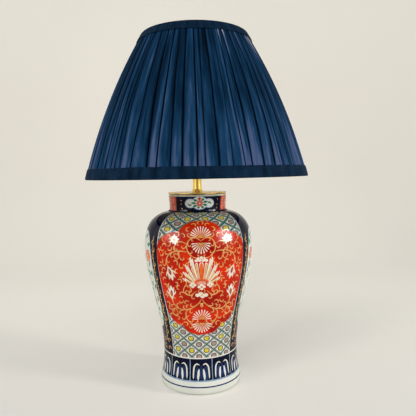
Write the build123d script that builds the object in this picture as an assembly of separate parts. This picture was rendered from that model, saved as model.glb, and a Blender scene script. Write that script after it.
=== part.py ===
"""Porcelain vase table lamp with a gathered fabric shade.

Millimetres, +Z up, with the origin under the middle of the foot.
The lamp's front faces -Y. A hollow threaded rod clamps the vase between a nut under its floor and a nut on
its brass cap. A tube carries a push-bar lampholder, a wire carrier stands on that, and the shade hangs from a
gimbal ring on top of the carrier.
"""

import os
from math import atan2, cos, hypot, pi, radians, sin, sqrt

from build123d import *

# Vase, stacked from the table up
FELT_THICKNESS = 1.0
FELT_WIDTH = 6.0
FELT_INSET = 2.0  # from the edge of the foot's flat underside
FOOT_FLAT_RADIUS = 68.5
FOOT_RADIUS = 73.3
FOOT_RISE = 11.0  # foot's underside to its widest point
FLARE_RISE = 50.0  # widest point of the foot to the waist
WAIST_RADIUS = 67.2
BODY_RISE = 188.0  # waist to belly
BELLY_RADIUS = 99.7
SHOULDER_RISE = 63.0  # belly to the root of the neck
NECK_ROOT_RADIUS = 54.0
NECK_RADIUS = 52.2
NECK_COVE = 12.0  # height of the hollow at the root of the neck
NECK_RISE = 31.0  # root of the neck to the rim
RIM_RADIUS = 53.7
RIM_ROUND = 1.6
# Curve handles of the vase's side, each a share of its own rise or reach
FOOT_HANDLE = 0.35
FLARE_FOOT_HANDLE = 0.12
FLARE_WAIST_HANDLE = 0.76
BODY_WAIST_HANDLE = 0.33
BODY_BELLY_HANDLE = 0.3
SHOULDER_BELLY_HANDLE = 0.63
SHOULDER_NECK_HANDLE = 0.61
SHOULDER_SLOPE = 0.06
COVE_HANDLE = 0.4
VASE_WALL = 6.5
FOOT_RING_WIDTH = 10.5
RECESS_DEPTH = 18.0  # hollow under the floor, room for the nut and the flex
FLOOR_THICKNESS = 8.0
FLOOR_ROUND = 9.0

# Rod, its nuts and washers
ROD_RADIUS = 5.0
ROD_BORE_RADIUS = 3.2
ROD_HOLE_CLEARANCE = 0.6
THREAD_CLEARANCE = 0.08
GASKET_RADIUS = 19.0
GASKET_THICKNESS = 1.5
WASHER_RADIUS = 20.0
WASHER_THICKNESS = 2.0
BASE_NUT_FLATS = 17.0
BASE_NUT_HEIGHT = 6.0
ROD_TAIL = 2.0  # rod standing out below its nut

# Flex inlet through the back of the foot
INLET_DROP = 7.5  # bore's axis below the roof of the recess
GROMMET_RADIUS = 4.5
GROMMET_BORE_RADIUS = 3.3
GROMMET_LIP_RADIUS = 6.5
GROMMET_LIP = 1.8
GROMMET_FIT = 0.1

# Cap on the mouth of the vase
CAP_GASKET_THICKNESS = 0.8
CAP_GASKET_WIDTH = 4.0
CAP_THICKNESS = 2.0
CAP_OVERHANG = 1.0
CAP_EDGE = 0.6
CAP_SKIRT_DEPTH = 9.0
CAP_SKIRT_WALL = 1.2
CAP_SKIRT_CLEARANCE = 0.8

# Stem
STEM_NUT_FLATS = 16.2
STEM_NUT_HEIGHT = 5.6
NUT_CHAMFER = 0.9
NUT_CHAMFER_HEIGHT = 0.55
STEM_RADIUS = 8.1
STEM_BORE_CLEARANCE = 0.25
STEM_LENGTH = 46.0

# Lampholder
CUP_BOSS_RADIUS = 9.2
CUP_BOSS_HEIGHT = 6.0
CUP_FLARE_HEIGHT = 8.0
CUP_RADIUS = 19.0
CUP_WALL = 1.2
WIRING_SPACE = 6.3  # cup's floor to the insulator
ROD_HEAD = 1.8  # rod standing up above the cup's floor
LOCK_SCREW_RADIUS = 1.5
LOCK_SCREW_LENGTH = 5.2
SHELL_RADIUS = 20.0
SHELL_WALL = 1.4
SHELL_HEIGHT = 36.0
SHELL_LIP = 1.0
INSULATOR_CLEARANCE = 0.4
INSULATOR_BASE = 12.5  # insulator's foot to the joint of cup and shell
INSULATOR_BLOCK = 27.0
INSULATOR_WALL_HEIGHT = 18.0
SCREW_SHELL_RADIUS = 14.1
SCREW_SHELL_WALL = 0.7
SCREW_SHELL_HEIGHT = 20.0
SCREW_SHELL_FIT = 0.3
CONTACT_WIDTH = 8.0
CONTACT_LENGTH = 16.0
CONTACT_THICKNESS = 0.8
CONTACT_BUTTON_RADIUS = 3.0
CONTACT_BUTTON_HEIGHT = 1.4
TERMINAL_RADIUS = 2.6
TERMINAL_HEAD = 2.2
TERMINAL_OFFSET = 11.0

# Push-bar switch, along X through the cup
SWITCH_BAR_RADIUS = 2.6
SWITCH_BUTTON_RADIUS = 4.2
SWITCH_BUTTON_LENGTH = 4.5
SWITCH_TRAVEL = 6.0
SWITCH_STOP_GAP = 0.5
SWITCH_CLEARANCE = 0.4
SWITCH_RISE = 6.0  # insulator's foot to the bar's axis

# Bulb
BULB_CONTACT_GAP = 0.3
BULB_CONTACT_RADIUS = 4.5
BULB_CONTACT_HEIGHT = 2.0
BULB_INSULATOR_HEIGHT = 4.5
BULB_CAP_CLEARANCE = 0.3  # in the screw shell
BULB_CAP_WALL = 0.6
BULB_CAP_HEIGHT = 20.0
BULB_NECK_RADIUS = 14.0
BULB_RADIUS = 30.0
BULB_RISE = 49.0  # top of the cap to the middle of the globe
BULB_WALL = 1.0
BULB_SEAT_DEPTH = 2.5
BULB_NECK_HANDLE = 0.18
BULB_GLOBE_HANDLE = 0.45
BULB_SHOULDER_ANGLE = 43.0  # below the globe's middle, where the neck takes over
STEM_GLASS_RADIUS = 4.0
STEM_GLASS_HEIGHT = 24.0
FILAMENT_COUNT = 4
FILAMENT_RADIUS = 1.0
FILAMENT_LENGTH = 30.0
FILAMENT_CIRCLE = 8.0
FILAMENT_DISC = 1.2

# Rings and wire carrier on the lampholder
SHADE_RING_RADIUS = 27.0
SHADE_RING_HEIGHT = 5.0
SHADE_RING_EDGE = 0.8
SHADE_RING_CLEARANCE = 0.15
SHADE_RING_DROP = 14.0  # top of the upper ring to the top of the shell
CARRIER_RING_RADIUS = 34.0
CARRIER_RING_THICKNESS = 2.0
CARRIER_WIRE_RADIUS = 1.6
CARRIER_FOOT_RUN = 10.0
CARRIER_SPREAD_RISE = 20.0
CARRIER_SPREAD_RADIUS = 40.0
CARRIER_HEIGHT = 126.0  # carrier ring to its seat
CARRIER_NECK_RUN = 9.0
CARRIER_SHOULDER_RISE = 13.0
CARRIER_BEND_RADIUS = 8.0
SEAT_INSET = 1.0  # seat inside the gimbal ring's edge
SEAT_THICKNESS = 2.0
SPIGOT_RADIUS = 13.5
SPIGOT_HEIGHT = 8.0
SPIGOT_WALL = 2.5

# Gimbal ring on the carrier's seat, with its pivots along X
GIMBAL_GAP = 0.3
GIMBAL_CLEARANCE = 0.5
GIMBAL_WIDTH = 7.5
GIMBAL_HEIGHT = 5.0
PIVOT_RADIUS = 1.5
PIVOT_REACH = 8.0  # pivot standing out of the ring
PIVOT_DEPTH = 5.0  # pivot inside the ring
PIVOT_FIT = 0.06
PIVOT_END_GAP = 0.6
SOCKET_RADIUS = 3.5
SOCKET_END = 1.5  # solid end of the socket
SOCKET_GAP = 0.8

# Shade
SHADE_GAP = 26.5  # top of the vase cap to the shade's lower edge
SHADE_HEIGHT = 263.5
SHADE_BOTTOM_RADIUS = 201.8
SHADE_TOP_RADIUS = 97.4
SHADE_BOW = 10.4
PLEATS = 64
PLEAT_DEPTH = 3.4
CLOTH = 0.9
FRAME_WIRE_RADIUS = 1.5
FRAME_CLEARANCE = 0.3
STRUTS = 8
ARM_RADIUS = 1.5
WELD = 0.6
LINING_THICKNESS = 0.6
LINING_SLIT_CLEARANCE = 0.5
TRIM_THICKNESS = 1.1
TRIM_CLEARANCE = 0.15
TOP_TRIM_HEIGHT = 16.5
BOTTOM_TRIM_HEIGHT = 19.0
TRIM_TURN_IN = 11.0  # depth of the trim's inner leg

# Heights that follow from the stack
foot_z = FELT_THICKNESS
bulge_z = foot_z + FOOT_RISE
waist_z = bulge_z + FLARE_RISE
belly_z = waist_z + BODY_RISE
neck_z = belly_z + SHOULDER_RISE
rim_z = neck_z + NECK_RISE
recess_z = foot_z + RECESS_DEPTH
inlet_z = recess_z - INLET_DROP
floor_z = recess_z + FLOOR_THICKNESS
cap_z = rim_z + CAP_GASKET_THICKNESS
cap_top_z = cap_z + CAP_THICKNESS
stem_z = cap_top_z + STEM_NUT_HEIGHT
holder_z = stem_z + STEM_LENGTH
cup_floor_z = holder_z + CUP_BOSS_HEIGHT + CUP_WALL
insulator_z = cup_floor_z + WIRING_SPACE
shell_z = insulator_z + INSULATOR_BASE
shell_top_z = shell_z + SHELL_HEIGHT
socket_z = insulator_z + INSULATOR_BLOCK
switch_z = insulator_z + SWITCH_RISE
bulb_z = socket_z + CONTACT_THICKNESS + CONTACT_BUTTON_HEIGHT + BULB_CONTACT_GAP
bulb_cap_z = bulb_z + BULB_CONTACT_HEIGHT + BULB_INSULATOR_HEIGHT
bulb_cap_top_z = bulb_cap_z + BULB_CAP_HEIGHT
globe_z = bulb_cap_top_z + BULB_RISE
upper_ring_z = shell_top_z - SHADE_RING_DROP
carrier_z = upper_ring_z - CARRIER_RING_THICKNESS
lower_ring_z = carrier_z - SHADE_RING_HEIGHT
seat_z = carrier_z + CARRIER_HEIGHT
seat_top_z = seat_z + SEAT_THICKNESS
gimbal_z = seat_top_z + GIMBAL_GAP
pivot_z = gimbal_z + GIMBAL_HEIGHT / 2
shade_z = cap_top_z + SHADE_GAP
shade_top_z = shade_z + SHADE_HEIGHT
cloth_z = shade_z + TRIM_THICKNESS + TRIM_CLEARANCE
cloth_top_z = shade_top_z - TRIM_THICKNESS - TRIM_CLEARANCE
bottom_wire_z = shade_z + TRIM_THICKNESS + FRAME_CLEARANCE + FRAME_WIRE_RADIUS
top_wire_z = shade_top_z - TRIM_THICKNESS - FRAME_CLEARANCE - FRAME_WIRE_RADIUS

rod_hole_radius = ROD_RADIUS + ROD_HOLE_CLEARANCE
rod_thread_radius = ROD_RADIUS + THREAD_CLEARANCE
neck_bore_radius = NECK_RADIUS - VASE_WALL
foot_ring_inner = FOOT_FLAT_RADIUS - FOOT_RING_WIDTH
gimbal_bore = SPIGOT_RADIUS + GIMBAL_CLEARANCE
gimbal_radius = gimbal_bore + GIMBAL_WIDTH
seat_radius = gimbal_radius - SEAT_INSET
ring_bore = SHELL_RADIUS + SHADE_RING_CLEARANCE
bulb_cap_radius = SCREW_SHELL_RADIUS - SCREW_SHELL_WALL - BULB_CAP_CLEARANCE

# The shade's side is an arc. Its pieces lie on arcs about the same centre, each at its own depth
# inside the crests of the cloth.
chord = hypot(SHADE_BOTTOM_RADIUS - SHADE_TOP_RADIUS, SHADE_HEIGHT)
bow_radius = chord**2 / (8 * SHADE_BOW) + SHADE_BOW / 2
chord_lean = atan2(SHADE_BOTTOM_RADIUS - SHADE_TOP_RADIUS, SHADE_HEIGHT)
bow_centre_r = (SHADE_BOTTOM_RADIUS + SHADE_TOP_RADIUS) / 2 - (bow_radius - SHADE_BOW) * cos(chord_lean)
bow_centre_z = (shade_z + shade_top_z) / 2 - (bow_radius - SHADE_BOW) * sin(chord_lean)
cover_depth = PLEAT_DEPTH + CLOTH
wire_depth = cover_depth + FRAME_CLEARANCE + FRAME_WIRE_RADIUS
lining_depth = wire_depth + FRAME_WIRE_RADIUS + FRAME_CLEARANCE
lining_inner_depth = lining_depth + LINING_THICKNESS


def side_radius(depth, z):
    """Radius of the shade's side at height z, this deep inside the crests of the cloth."""
    return bow_centre_r + sqrt((bow_radius - depth) ** 2 - (z - bow_centre_z) ** 2)


def side_arc(depth, low, high):
    """The shade's side as an arc in (radius, height), from low to high."""
    middle = (low + high) / 2
    return ThreePointArc(*[(side_radius(depth, z), z) for z in (low, middle, high)])


def across(depth_a, depth_b, z):
    """Level line between two depths in the shade's side."""
    return Line((side_radius(depth_a, z), z), (side_radius(depth_b, z), z))


def lathe(*curves):
    """Solid turned about Z from curves drawn in (radius, height) that close on each other."""
    return revolve(Plane.XZ * make_face(curves), Axis.Z)


def turned(*points):
    """Solid turned about Z from a polygon of (radius, height) points."""
    return lathe(Polyline(*points, close=True))


def ring(inner, outer, low, high):
    return turned((inner, low), (outer, low), (outer, high), (inner, high))


def upright(radius, height):
    """Cylinder standing on the origin."""
    return Cylinder(radius, height, align=(Align.CENTER, Align.CENTER, Align.MIN))


def rod_x(radius, start, end, z):
    """Round bar along X at height z."""
    return Pos(start, 0, z) * Rot(0, 90, 0) * upright(radius, end - start)


def hexagon_nut(flats, low, height, bore):
    blank = Pos(0, 0, low) * extrude(RegularPolygon(flats / 2, 6, major_radius=False), height)
    corner = flats / sqrt(3)
    round_top = turned(
        (bore, low),
        (corner - NUT_CHAMFER, low),
        (corner, low + NUT_CHAMFER_HEIGHT),
        (corner, low + height - NUT_CHAMFER_HEIGHT),
        (corner - NUT_CHAMFER, low + height),
        (bore, low + height),
    )
    return blank & round_top


def wire_along(path, radius):
    return sweep(Plane(origin=path @ 0, z_dir=path % 0) * Circle(radius), path=path)


def mirrored_pair(solid):
    """The solid and its twin half a turn about Z away, as separate solids."""
    return Compound([solid, Rot(0, 0, 180) * solid])


# Vase and what clamps it


def make_vase():
    neck_top = rim_z - RIM_ROUND
    inner_belly = BELLY_RADIUS - VASE_WALL
    inner_waist = WAIST_RADIUS - VASE_WALL
    inner_root_z = neck_z - VASE_WALL
    shoulder_lift = SHOULDER_RISE * SHOULDER_BELLY_HANDLE
    shoulder_reach = (BELLY_RADIUS - NECK_ROOT_RADIUS) * SHOULDER_NECK_HANDLE
    shoulder_drop = SHOULDER_RISE * SHOULDER_SLOPE
    body_low = BODY_RISE * BODY_WAIST_HANDLE
    body_high = BODY_RISE * BODY_BELLY_HANDLE
    outside = [
        Bezier(
            (FOOT_FLAT_RADIUS, foot_z),
            (FOOT_RADIUS, foot_z),
            (FOOT_RADIUS, foot_z + FOOT_RISE * FOOT_HANDLE),
            (FOOT_RADIUS, bulge_z),
        ),
        Bezier(
            (FOOT_RADIUS, bulge_z),
            (FOOT_RADIUS, bulge_z + FLARE_RISE * FLARE_FOOT_HANDLE),
            (WAIST_RADIUS, waist_z - FLARE_RISE * FLARE_WAIST_HANDLE),
            (WAIST_RADIUS, waist_z),
        ),
        Bezier(
            (WAIST_RADIUS, waist_z),
            (WAIST_RADIUS, waist_z + body_low),
            (BELLY_RADIUS, belly_z - body_high),
            (BELLY_RADIUS, belly_z),
        ),
        Bezier(
            (BELLY_RADIUS, belly_z),
            (BELLY_RADIUS, belly_z + shoulder_lift),
            (NECK_ROOT_RADIUS + shoulder_reach, neck_z - shoulder_drop),
            (NECK_ROOT_RADIUS, neck_z),
        ),
        Bezier(
            (NECK_ROOT_RADIUS, neck_z),
            (NECK_RADIUS, neck_z),
            (NECK_RADIUS, neck_z + NECK_COVE * COVE_HANDLE),
            (NECK_RADIUS, neck_z + NECK_COVE),
        ),
        Line((NECK_RADIUS, neck_z + NECK_COVE), (RIM_RADIUS, neck_top)),
        RadiusArc((RIM_RADIUS, neck_top), (RIM_RADIUS - RIM_ROUND, rim_z), -RIM_ROUND),
    ]
    inside = [
        Polyline(
            (RIM_RADIUS - RIM_ROUND, rim_z),
            (neck_bore_radius + RIM_ROUND, rim_z),
            (neck_bore_radius, rim_z - RIM_ROUND),
            (neck_bore_radius, inner_root_z),
        ),
        Bezier(
            (neck_bore_radius, inner_root_z),
            (neck_bore_radius + shoulder_reach, inner_root_z - shoulder_drop),
            (inner_belly, belly_z + shoulder_lift - VASE_WALL / 2),
            (inner_belly, belly_z),
        ),
        Bezier(
            (inner_belly, belly_z),
            (inner_belly, belly_z - body_high),
            (inner_waist, waist_z + body_low),
            (inner_waist, waist_z),
        ),
        Line((inner_waist, waist_z), (inner_waist, floor_z + FLOOR_ROUND)),
        RadiusArc((inner_waist, floor_z + FLOOR_ROUND), (inner_waist - FLOOR_ROUND, floor_z), FLOOR_ROUND),
        Polyline(
            (inner_waist - FLOOR_ROUND, floor_z),
            (rod_hole_radius, floor_z),
            (rod_hole_radius, recess_z),
            (foot_ring_inner, recess_z),
            (foot_ring_inner, foot_z),
            (FOOT_FLAT_RADIUS, foot_z),
        ),
    ]
    inlet_start = foot_ring_inner - GROMMET_LIP
    inlet_length = FOOT_RADIUS + GROMMET_LIP - inlet_start
    flex_hole = Rot(-90, 0, 0) * upright(GROMMET_RADIUS + GROMMET_FIT, inlet_length)
    return lathe(*outside, *inside) - Pos(0, inlet_start, inlet_z) * flex_hole


def make_foot_felt():
    outer = FOOT_FLAT_RADIUS - FELT_INSET
    return ring(outer - FELT_WIDTH, outer, 0, foot_z)


def make_grommet():
    """Bush lying along Y through the back of the foot, with its lip outside."""
    length = FOOT_RADIUS + GROMMET_LIP - foot_ring_inner
    lip_start = length - GROMMET_LIP
    bush = turned(
        (GROMMET_BORE_RADIUS, 0),
        (GROMMET_RADIUS, 0),
        (GROMMET_RADIUS, lip_start),
        (GROMMET_LIP_RADIUS, lip_start),
        (GROMMET_LIP_RADIUS - GROMMET_LIP / 2, length),
        (GROMMET_BORE_RADIUS, length),
    )
    return Pos(0, foot_ring_inner, inlet_z) * Rot(-90, 0, 0) * bush


def make_base_hardware():
    gasket_z = recess_z - GASKET_THICKNESS
    washer_z = gasket_z - WASHER_THICKNESS
    nut_z = washer_z - BASE_NUT_HEIGHT
    return {
        "base_gasket": ring(rod_hole_radius, GASKET_RADIUS, gasket_z, recess_z),
        "base_washer": ring(rod_hole_radius, WASHER_RADIUS, washer_z, gasket_z),
        "base_nut": hexagon_nut(BASE_NUT_FLATS, nut_z, BASE_NUT_HEIGHT, rod_thread_radius),
        "threaded_rod": ring(ROD_BORE_RADIUS, ROD_RADIUS, nut_z - ROD_TAIL, cup_floor_z + ROD_HEAD),
    }


def make_cap():
    skirt = neck_bore_radius - CAP_SKIRT_CLEARANCE
    radius = RIM_RADIUS + CAP_OVERHANG
    return turned(
        (rod_hole_radius, cap_top_z),
        (radius - CAP_EDGE, cap_top_z),
        (radius, cap_top_z - CAP_EDGE),
        (radius, cap_z + CAP_EDGE),
        (radius - CAP_EDGE, cap_z),
        (skirt, cap_z),
        (skirt, cap_z - CAP_SKIRT_DEPTH),
        (skirt - CAP_SKIRT_WALL, cap_z - CAP_SKIRT_DEPTH),
        (skirt - CAP_SKIRT_WALL, cap_z),
        (rod_hole_radius, cap_z),
    )


def make_cap_gasket():
    outer = RIM_RADIUS - RIM_ROUND
    return ring(outer - CAP_GASKET_WIDTH, outer, rim_z, cap_z)


# Lampholder and bulb


def make_cup():
    flare_z = holder_z + CUP_BOSS_HEIGHT
    wide_z = flare_z + CUP_FLARE_HEIGHT
    inside = CUP_RADIUS - CUP_WALL
    cup = lathe(
        Polyline((rod_thread_radius, holder_z), (CUP_BOSS_RADIUS, holder_z), (CUP_BOSS_RADIUS, flare_z)),
        Bezier(
            (CUP_BOSS_RADIUS, flare_z),
            (CUP_RADIUS, flare_z),
            (CUP_RADIUS, flare_z + CUP_FLARE_HEIGHT / 2),
            (CUP_RADIUS, wide_z),
        ),
        Polyline((CUP_RADIUS, wide_z), (CUP_RADIUS, shell_z), (inside, shell_z), (inside, wide_z)),
        Bezier(
            (inside, wide_z),
            (inside, cup_floor_z + CUP_FLARE_HEIGHT / 2),
            (inside, cup_floor_z),
            (CUP_BOSS_RADIUS, cup_floor_z),
        ),
        Polyline(
            (CUP_BOSS_RADIUS, cup_floor_z),
            (rod_thread_radius, cup_floor_z),
            (rod_thread_radius, holder_z),
        ),
    )
    reach = CUP_RADIUS + CUP_WALL
    bar_holes = rod_x(SWITCH_BAR_RADIUS + SWITCH_CLEARANCE, -reach, reach, switch_z)
    return cup - bar_holes - lock_screw_space(THREAD_CLEARANCE)


def lock_screw_space(clearance):
    """Radial bar from the rod out through the front of the cup's boss."""
    middle = holder_z + CUP_BOSS_HEIGHT / 2
    bar = upright(LOCK_SCREW_RADIUS + clearance, LOCK_SCREW_LENGTH)
    return Pos(0, -rod_thread_radius, middle) * Rot(90, 0, 0) * bar


def make_shell():
    inside = SHELL_RADIUS - SHELL_WALL
    lip = inside - SHELL_LIP
    return turned(
        (CUP_RADIUS - CUP_WALL, shell_z),
        (SHELL_RADIUS, shell_z),
        (SHELL_RADIUS, shell_top_z - SHELL_LIP),
        (SHELL_RADIUS - SHELL_LIP, shell_top_z),
        (lip, shell_top_z),
        (lip, shell_top_z - SHELL_WALL),
        (inside, shell_top_z - SHELL_WALL),
        (inside, shell_z + SHELL_WALL),
        (CUP_RADIUS - CUP_WALL, shell_z + SHELL_WALL),
    )


def make_insulator():
    radius = CUP_RADIUS - CUP_WALL - INSULATOR_CLEARANCE
    wall_inner = SCREW_SHELL_RADIUS + SCREW_SHELL_FIT
    body = turned(
        (0, insulator_z),
        (radius, insulator_z),
        (radius, socket_z + INSULATOR_WALL_HEIGHT),
        (wall_inner, socket_z + INSULATOR_WALL_HEIGHT),
        (wall_inner, socket_z),
        (0, socket_z),
    )
    bar_way = rod_x(SWITCH_BAR_RADIUS + SWITCH_CLEARANCE, -radius - CUP_WALL, radius + CUP_WALL, switch_z)
    return body - bar_way


def make_terminals():
    head = upright(TERMINAL_RADIUS, TERMINAL_HEAD)
    return mirrored_pair(Pos(0, TERMINAL_OFFSET, insulator_z - TERMINAL_HEAD) * head)


def make_centre_contact():
    strip = Pos(0, 0, socket_z) * Box(
        CONTACT_LENGTH, CONTACT_WIDTH, CONTACT_THICKNESS, align=(Align.CENTER, Align.CENTER, Align.MIN)
    )
    button = Pos(0, 0, socket_z + CONTACT_THICKNESS) * upright(CONTACT_BUTTON_RADIUS, CONTACT_BUTTON_HEIGHT)
    return strip + button


def make_switch_bar():
    """At rest the bar is pushed all the way towards -X."""
    right = CUP_RADIUS + SWITCH_STOP_GAP
    left = -right - SWITCH_TRAVEL
    bar = rod_x(SWITCH_BAR_RADIUS, left, right, switch_z)
    left_button = rod_x(SWITCH_BUTTON_RADIUS, left - SWITCH_BUTTON_LENGTH, left, switch_z)
    right_button = rod_x(SWITCH_BUTTON_RADIUS, right, right + SWITCH_BUTTON_LENGTH, switch_z)
    return bar + left_button + right_button


def make_bulb():
    cone_z = bulb_z + BULB_CONTACT_HEIGHT
    root_z = bulb_cap_top_z - BULB_SEAT_DEPTH
    cap_bore = bulb_cap_radius - BULB_CAP_WALL
    throat = cap_bore - SCREW_SHELL_FIT
    inner_globe = BULB_RADIUS - BULB_WALL
    meet = radians(BULB_SHOULDER_ANGLE)
    skin = [(radius * cos(meet), globe_z - radius * sin(meet)) for radius in (BULB_RADIUS, inner_globe)]
    lean = BULB_RADIUS * BULB_GLOBE_HANDLE
    neck_bend_z = bulb_cap_top_z + BULB_RISE * BULB_NECK_HANDLE
    glass = lathe(
        Line((throat, root_z), (throat, bulb_cap_top_z)),
        Bezier(
            (throat, bulb_cap_top_z),
            (BULB_NECK_RADIUS, neck_bend_z),
            (skin[0][0] - lean * sin(meet), skin[0][1] - lean * cos(meet)),
            skin[0],
        ),
        ThreePointArc(skin[0], (BULB_RADIUS, globe_z), (0, globe_z + BULB_RADIUS)),
        Line((0, globe_z + BULB_RADIUS), (0, globe_z + inner_globe)),
        ThreePointArc((0, globe_z + inner_globe), (inner_globe, globe_z), skin[1]),
        Bezier(
            skin[1],
            (skin[1][0] - lean * sin(meet), skin[1][1] - lean * cos(meet)),
            (BULB_NECK_RADIUS - BULB_WALL, neck_bend_z),
            (throat - BULB_WALL, bulb_cap_top_z),
        ),
        Polyline((throat - BULB_WALL, bulb_cap_top_z), (throat - BULB_WALL, root_z), (throat, root_z)),
    )
    stem_top = bulb_cap_top_z + STEM_GLASS_HEIGHT
    stem = turned(
        (0, root_z),
        (throat - BULB_WALL - SCREW_SHELL_FIT, root_z),
        (STEM_GLASS_RADIUS, bulb_cap_top_z),
        (STEM_GLASS_RADIUS / 2, stem_top),
        (0, stem_top),
    )
    disc = upright(FILAMENT_CIRCLE + 2 * FILAMENT_RADIUS, FILAMENT_DISC)
    rod = Pos(FILAMENT_CIRCLE, 0, stem_top) * upright(FILAMENT_RADIUS, FILAMENT_LENGTH)
    filament = stem + Pos(0, 0, stem_top) * disc + Pos(0, 0, stem_top + FILAMENT_LENGTH) * disc
    for i in range(FILAMENT_COUNT):
        filament += Rot(0, 0, 360 / FILAMENT_COUNT * i) * rod
    return {
        "bulb_contact": ring(0, BULB_CONTACT_RADIUS, bulb_z, cone_z),
        "bulb_insulator": turned(
            (0, cone_z), (BULB_CONTACT_RADIUS, cone_z), (cap_bore, bulb_cap_z), (0, bulb_cap_z)
        ),
        "bulb_cap": ring(cap_bore, bulb_cap_radius, bulb_cap_z, bulb_cap_top_z),
        "bulb_glass": glass,
        "bulb_filament": filament,
    }


# Rings, carrier and gimbal


def make_shade_ring(low):
    return turned(
        (ring_bore, low),
        (SHADE_RING_RADIUS - SHADE_RING_EDGE, low),
        (SHADE_RING_RADIUS, low + SHADE_RING_EDGE),
        (SHADE_RING_RADIUS, low + SHADE_RING_HEIGHT - SHADE_RING_EDGE),
        (SHADE_RING_RADIUS - SHADE_RING_EDGE, low + SHADE_RING_HEIGHT),
        (ring_bore, low + SHADE_RING_HEIGHT),
    )


def make_carrier_wires():
    """Two wires that rise from the carrier's ring, spread round the bulb and close under the seat."""
    foot = CARRIER_RING_RADIUS - 2 * CARRIER_WIRE_RADIUS
    head = seat_radius - 2 * CARRIER_WIRE_RADIUS
    start = carrier_z + CARRIER_RING_THICKNESS
    spread = start + CARRIER_FOOT_RUN + CARRIER_SPREAD_RISE
    neck = seat_z - CARRIER_NECK_RUN
    path = FilletPolyline(
        (foot, 0, start),
        (foot, 0, start + CARRIER_FOOT_RUN),
        (CARRIER_SPREAD_RADIUS, 0, spread),
        (CARRIER_SPREAD_RADIUS, 0, neck - CARRIER_SHOULDER_RISE),
        (head, 0, neck),
        (head, 0, seat_z),
        radius=CARRIER_BEND_RADIUS,
    )
    return mirrored_pair(wire_along(path, CARRIER_WIRE_RADIUS))


def make_seat():
    bore = SPIGOT_RADIUS - SPIGOT_WALL
    return turned(
        (bore, seat_z),
        (seat_radius, seat_z),
        (seat_radius, seat_top_z),
        (SPIGOT_RADIUS, seat_top_z),
        (SPIGOT_RADIUS, seat_top_z + SPIGOT_HEIGHT),
        (bore, seat_top_z + SPIGOT_HEIGHT),
    )


def pivot_bars():
    start = gimbal_radius - PIVOT_DEPTH
    return mirrored_pair(rod_x(PIVOT_RADIUS, start, gimbal_radius + PIVOT_REACH, pivot_z))


def make_gimbal_ring():
    return ring(gimbal_bore, gimbal_radius, gimbal_z, gimbal_z + GIMBAL_HEIGHT) - pivot_bars()


# Shade


def make_cover():
    """Gathered cloth: a ring of scalloped folds that narrow from the lower edge to the upper one."""

    def section(z):
        step = 2 * pi / PLEATS
        crest = side_radius(0, z)
        valley = crest - PLEAT_DEPTH
        folds = []
        for i in range(PLEATS):
            corners = [(valley, i * step), (crest, (i + 0.5) * step), (valley, (i + 1) * step)]
            folds.append(ThreePointArc(*[(r * cos(a), r * sin(a)) for r, a in corners]))
        return Pos(0, 0, z) * make_face(folds)

    folded = loft([section(cloth_z), section((cloth_z + cloth_top_z) / 2), section(cloth_top_z)])
    low_edge = (side_radius(cover_depth, cloth_z), cloth_z)
    high_edge = (side_radius(cover_depth, cloth_top_z), cloth_top_z)
    axis_side = Polyline(low_edge, (0, cloth_z), (0, cloth_top_z), high_edge)
    inside = lathe(axis_side, side_arc(cover_depth, cloth_z, cloth_top_z))
    return folded - inside


def make_lining():
    cone = lathe(
        side_arc(lining_depth, cloth_z, cloth_top_z),
        across(lining_depth, lining_inner_depth, cloth_top_z),
        side_arc(lining_inner_depth, cloth_top_z, cloth_z),
        across(lining_inner_depth, lining_depth, cloth_z),
    )
    reach = side_radius(0, pivot_z)
    return cone - rod_x(ARM_RADIUS + LINING_SLIT_CLEARANCE, -reach, reach, pivot_z)


def make_trim(edge_z, height, up):
    """Folded band over an edge of the shade: an outer leg, a closed end and a shorter inner leg."""
    turn = 1 if up else -1
    inner_depth = lining_inner_depth + TRIM_CLEARANCE
    outer_leg = edge_z - turn * height
    inner_leg = edge_z - turn * TRIM_TURN_IN
    closed = edge_z - turn * TRIM_THICKNESS
    outside = -TRIM_CLEARANCE - TRIM_THICKNESS
    inside = inner_depth + TRIM_THICKNESS
    return lathe(
        across(outside, inside, edge_z),
        side_arc(inside, edge_z, inner_leg),
        across(inside, inner_depth, inner_leg),
        side_arc(inner_depth, inner_leg, closed),
        across(inner_depth, -TRIM_CLEARANCE, closed),
        side_arc(-TRIM_CLEARANCE, closed, outer_leg),
        across(-TRIM_CLEARANCE, outside, outer_leg),
        side_arc(outside, outer_leg, edge_z),
    )


def make_hoop(z):
    return Pos(0, 0, z) * Torus(side_radius(wire_depth, z), FRAME_WIRE_RADIUS)


def make_struts():
    arc = Plane.XZ * side_arc(wire_depth, bottom_wire_z, top_wire_z)
    strut = wire_along(arc, FRAME_WIRE_RADIUS)
    return Compound([Rot(0, 0, 360 / STRUTS * i) * strut for i in range(STRUTS)])


def make_gimbal_arms():
    """Two arms, each with a blind socket that turns on a pivot and a bar welded to a strut."""
    start = gimbal_radius + SOCKET_GAP
    bore_end = gimbal_radius + PIVOT_REACH + PIVOT_END_GAP
    socket_end = bore_end + SOCKET_END
    weld = side_radius(wire_depth, pivot_z) - FRAME_WIRE_RADIUS + WELD
    arm = rod_x(SOCKET_RADIUS, start, socket_end, pivot_z) + rod_x(ARM_RADIUS, socket_end, weld, pivot_z)
    return mirrored_pair(arm - rod_x(PIVOT_RADIUS + PIVOT_FIT, start, bore_end, pivot_z))


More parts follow.
